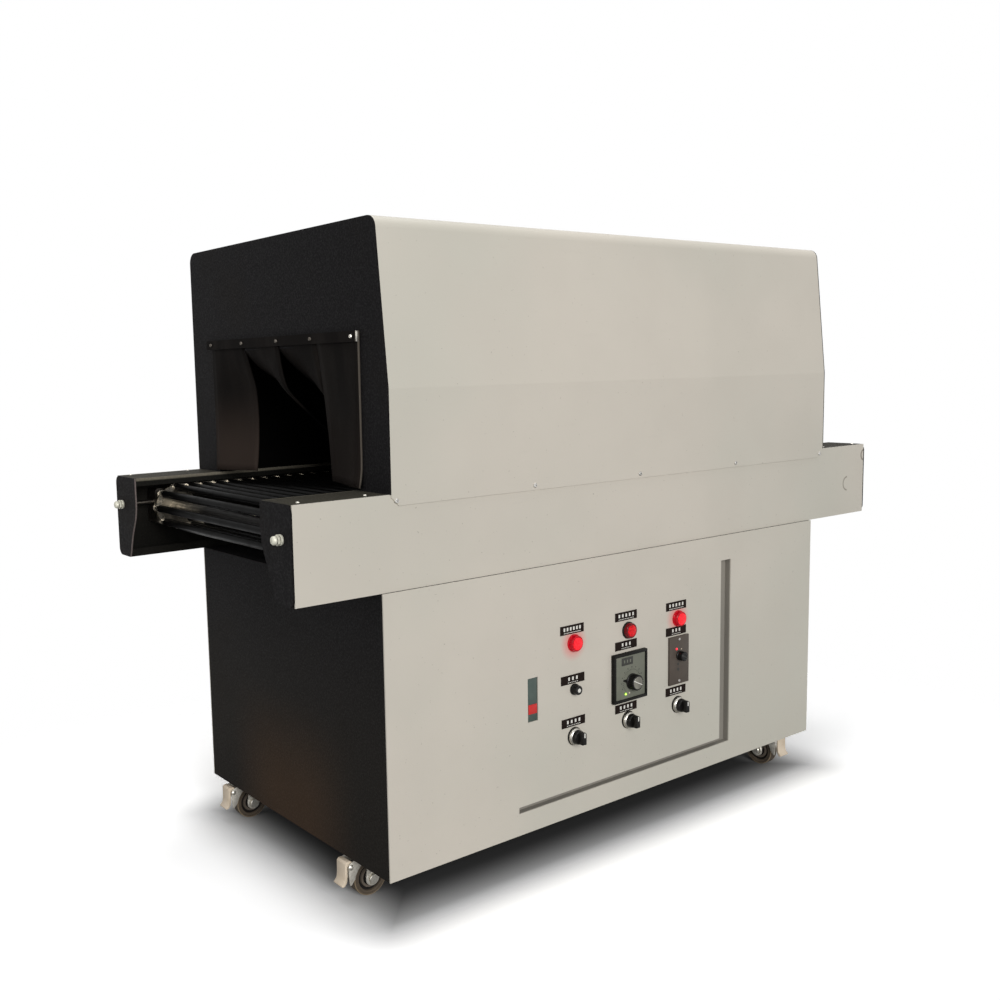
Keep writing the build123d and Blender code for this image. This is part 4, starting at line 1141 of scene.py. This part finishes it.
for name, place in caster_places.items():
    fork = Shape()
    upright = spun(moved(place, trail, 0, axle_height), 90, "X")
    for start in (-cheek_outer, cheek_inner):
        fork.cut(moved(upright, 0, 0, start), cheek, cheek_sheet, caster_zinc, 0.5)
    fork.block(moved(place, trail - 11, 0, 71), 56, 2 * cheek_outer - 0.8, 4, caster_zinc, 0.8)
    race = [(5.2, race_bottom - 1), (21, race_bottom - 1), (22, race_bottom + 2), (22, race_bottom + 6), (19, race_top)]
    fork.turn(place, race + [(5.2, race_top)], caster_zinc, 32, closed=True)
    for side in (0, 180):
        facing = moved(spun(upright, side, "X"), 0, 0, cheek_outer)
        fork.turn(facing, [(11.6, -1), (11.8, 0.6), (11.0, 1.8), (9.4, 2.2), (8.6, 1.2)], caster_zinc, 36)
        fork.turn(facing, [(7.6, 1.0), (7.8, 4.8), (7.0, 5.8), (0, 6.0)], bolt_zinc, 28)
        pivot = moved(facing, 38, 27 if side == 0 else -27)
        fork.turn(pivot, [(4.4, -0.5), (4.2, 0.8), (3.0, 1.9), (1.4, 2.4), (0, 2.5)], bolt_zinc, 20)
    fork.turn(moved(upright, 0, 0, -cheek_outer), [(4, 0), (4, 29)], bolt_zinc, 16)
    fork.cut(moved(upright, 0, 0, -cheek_inner), pedal, 2 * cheek_inner, cream_nylon, 1.0)
    fork.keep(f"fork_{name}", "caster_zinc", f"caster_fork_{name}", body=f"swivel_{name}")

# %% [markdown]
# The machine stands on a white floor that fades into the background, with a dark soft shadow painted into the
# floor's colour round its base. The camera sees the floor paler than the machine does, through Is Camera Ray, so
# that it clips to white without throwing more light on the paint.

# %% Floor
floor_mesh = bpy.data.meshes.new("floor")
floor_mesh.from_pydata([(-60, -60, 0), (60, -60, 0), (60, 60, 0), (-60, 60, 0)], [], [(0, 1, 2, 3)])
floor = put_in_scene("floor", floor_mesh)
shadow_start, shadow_end = -0.09, 0.11
paper = Finish("studio_floor")
floor_mesh.materials.append(paper.material)
base_low, base_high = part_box("cabinet_base")
base_middle, base_half = (base_low + base_high) / 2, (base_high - base_low) / 2
beside = abs(paper.x - base_middle.x) - base_half.x
before = abs(paper.y - base_middle.y) - base_half.y
outside = (beside.maths("MAXIMUM", 0.0) ** 2 + before.maths("MAXIMUM", 0.0) ** 2) ** 0.5
inside = beside.maths("MAXIMUM", before).maths("MINIMUM", 0.0)
# A painted shadow: the floor's colour darkens towards the cabinet's base and under it.
painted_contact_shadow = paper.ramp(outside + inside, shadow_start, shadow_end, 0.02, 1.0)
fade = paper.ramp(outside, 0.1, 0.7)
camera_only = paper.node("ShaderNodeLightPath")
lit = paper.mix(painted_contact_shadow, (0.03, 0.03, 0.03, 1.0), (1.8, 1.8, 1.8, 1.0))
tone = paper.mix(camera_only, (0.45, 0.45, 0.45, 1.0), lit)
matt = paper.node("ShaderNodeBsdfDiffuse", {"Color": tone})
clear = paper.node("ShaderNodeBsdfTransparent")
floor_skin = paper.node("ShaderNodeMixShader", {0: fade, 1: matt, 2: clear})
paper.feed(paper.tree.nodes["Material Output"].inputs["Surface"], floor_skin)
print("the shadow ends", shadow_end, "m out from a base of", [round(2 * half, 3) for half in base_half.xy], "m")

# %% [markdown]
# The world is pure white where the camera, a reflection or glass looks at it, and a low level for the light it sheds,
# told apart by Light Path, so the shadows stay deep. View transform Standard keeps the paint's colours as they were
# chosen.

# %% World
bpy.context.scene.view_settings.view_transform = "Standard"
world = bpy.data.worlds.new("studio")
bpy.context.scene.world = world
world.use_nodes = True
sky = Nodes(world.node_tree)
background = world.node_tree.nodes["Background"]
seen = sky.node("ShaderNodeLightPath")
direct = seen + seen.also("Is Glossy Ray") + seen.also("Is Transmission Ray")
plain_light = 0.16
level = sky.node("ShaderNodeMapRange", {0: direct, 1: 0.0, 2: 1.0, 3: plain_light, 4: 1.0})
sky.feed(background.inputs["Color"], shade(255, 255, 255))
sky.feed(background.inputs["Strength"], level)
print("the world sheds", plain_light, "of its white")

# %% [markdown]
# Three soft area lamps: a wide one overhead, a wide one in front for the pale sheets, and a weak one at the infeed
# end that draws the black sheets out of the dark.


# %% Softboxes
def softbox(name, place, target, width, height, power):
    data = bpy.data.lights.new(name, "AREA")
    data.shape, data.size, data.size_y, data.energy = "RECTANGLE", width, height, power
    lamp = put_in_scene(name, data)
    lamp.location = place
    lamp.rotation_euler = (Vector(target) - Vector(place)).to_track_quat("-Z", "Y").to_euler()


softbox("overhead", (0.0, 0.2, 3.6), (0.0, 0.1, 0.0), 3.0, 2.4, 56.0)
softbox("front", (-1.6, -5.0, 2.0), (0.0, 0.0, 0.5), 3.0, 2.4, 208.0)
softbox("side", (-5.0, -0.6, 1.8), (-0.5, 0.0, 0.5), 2.4, 2.0, 45.0)
print("three softboxes")
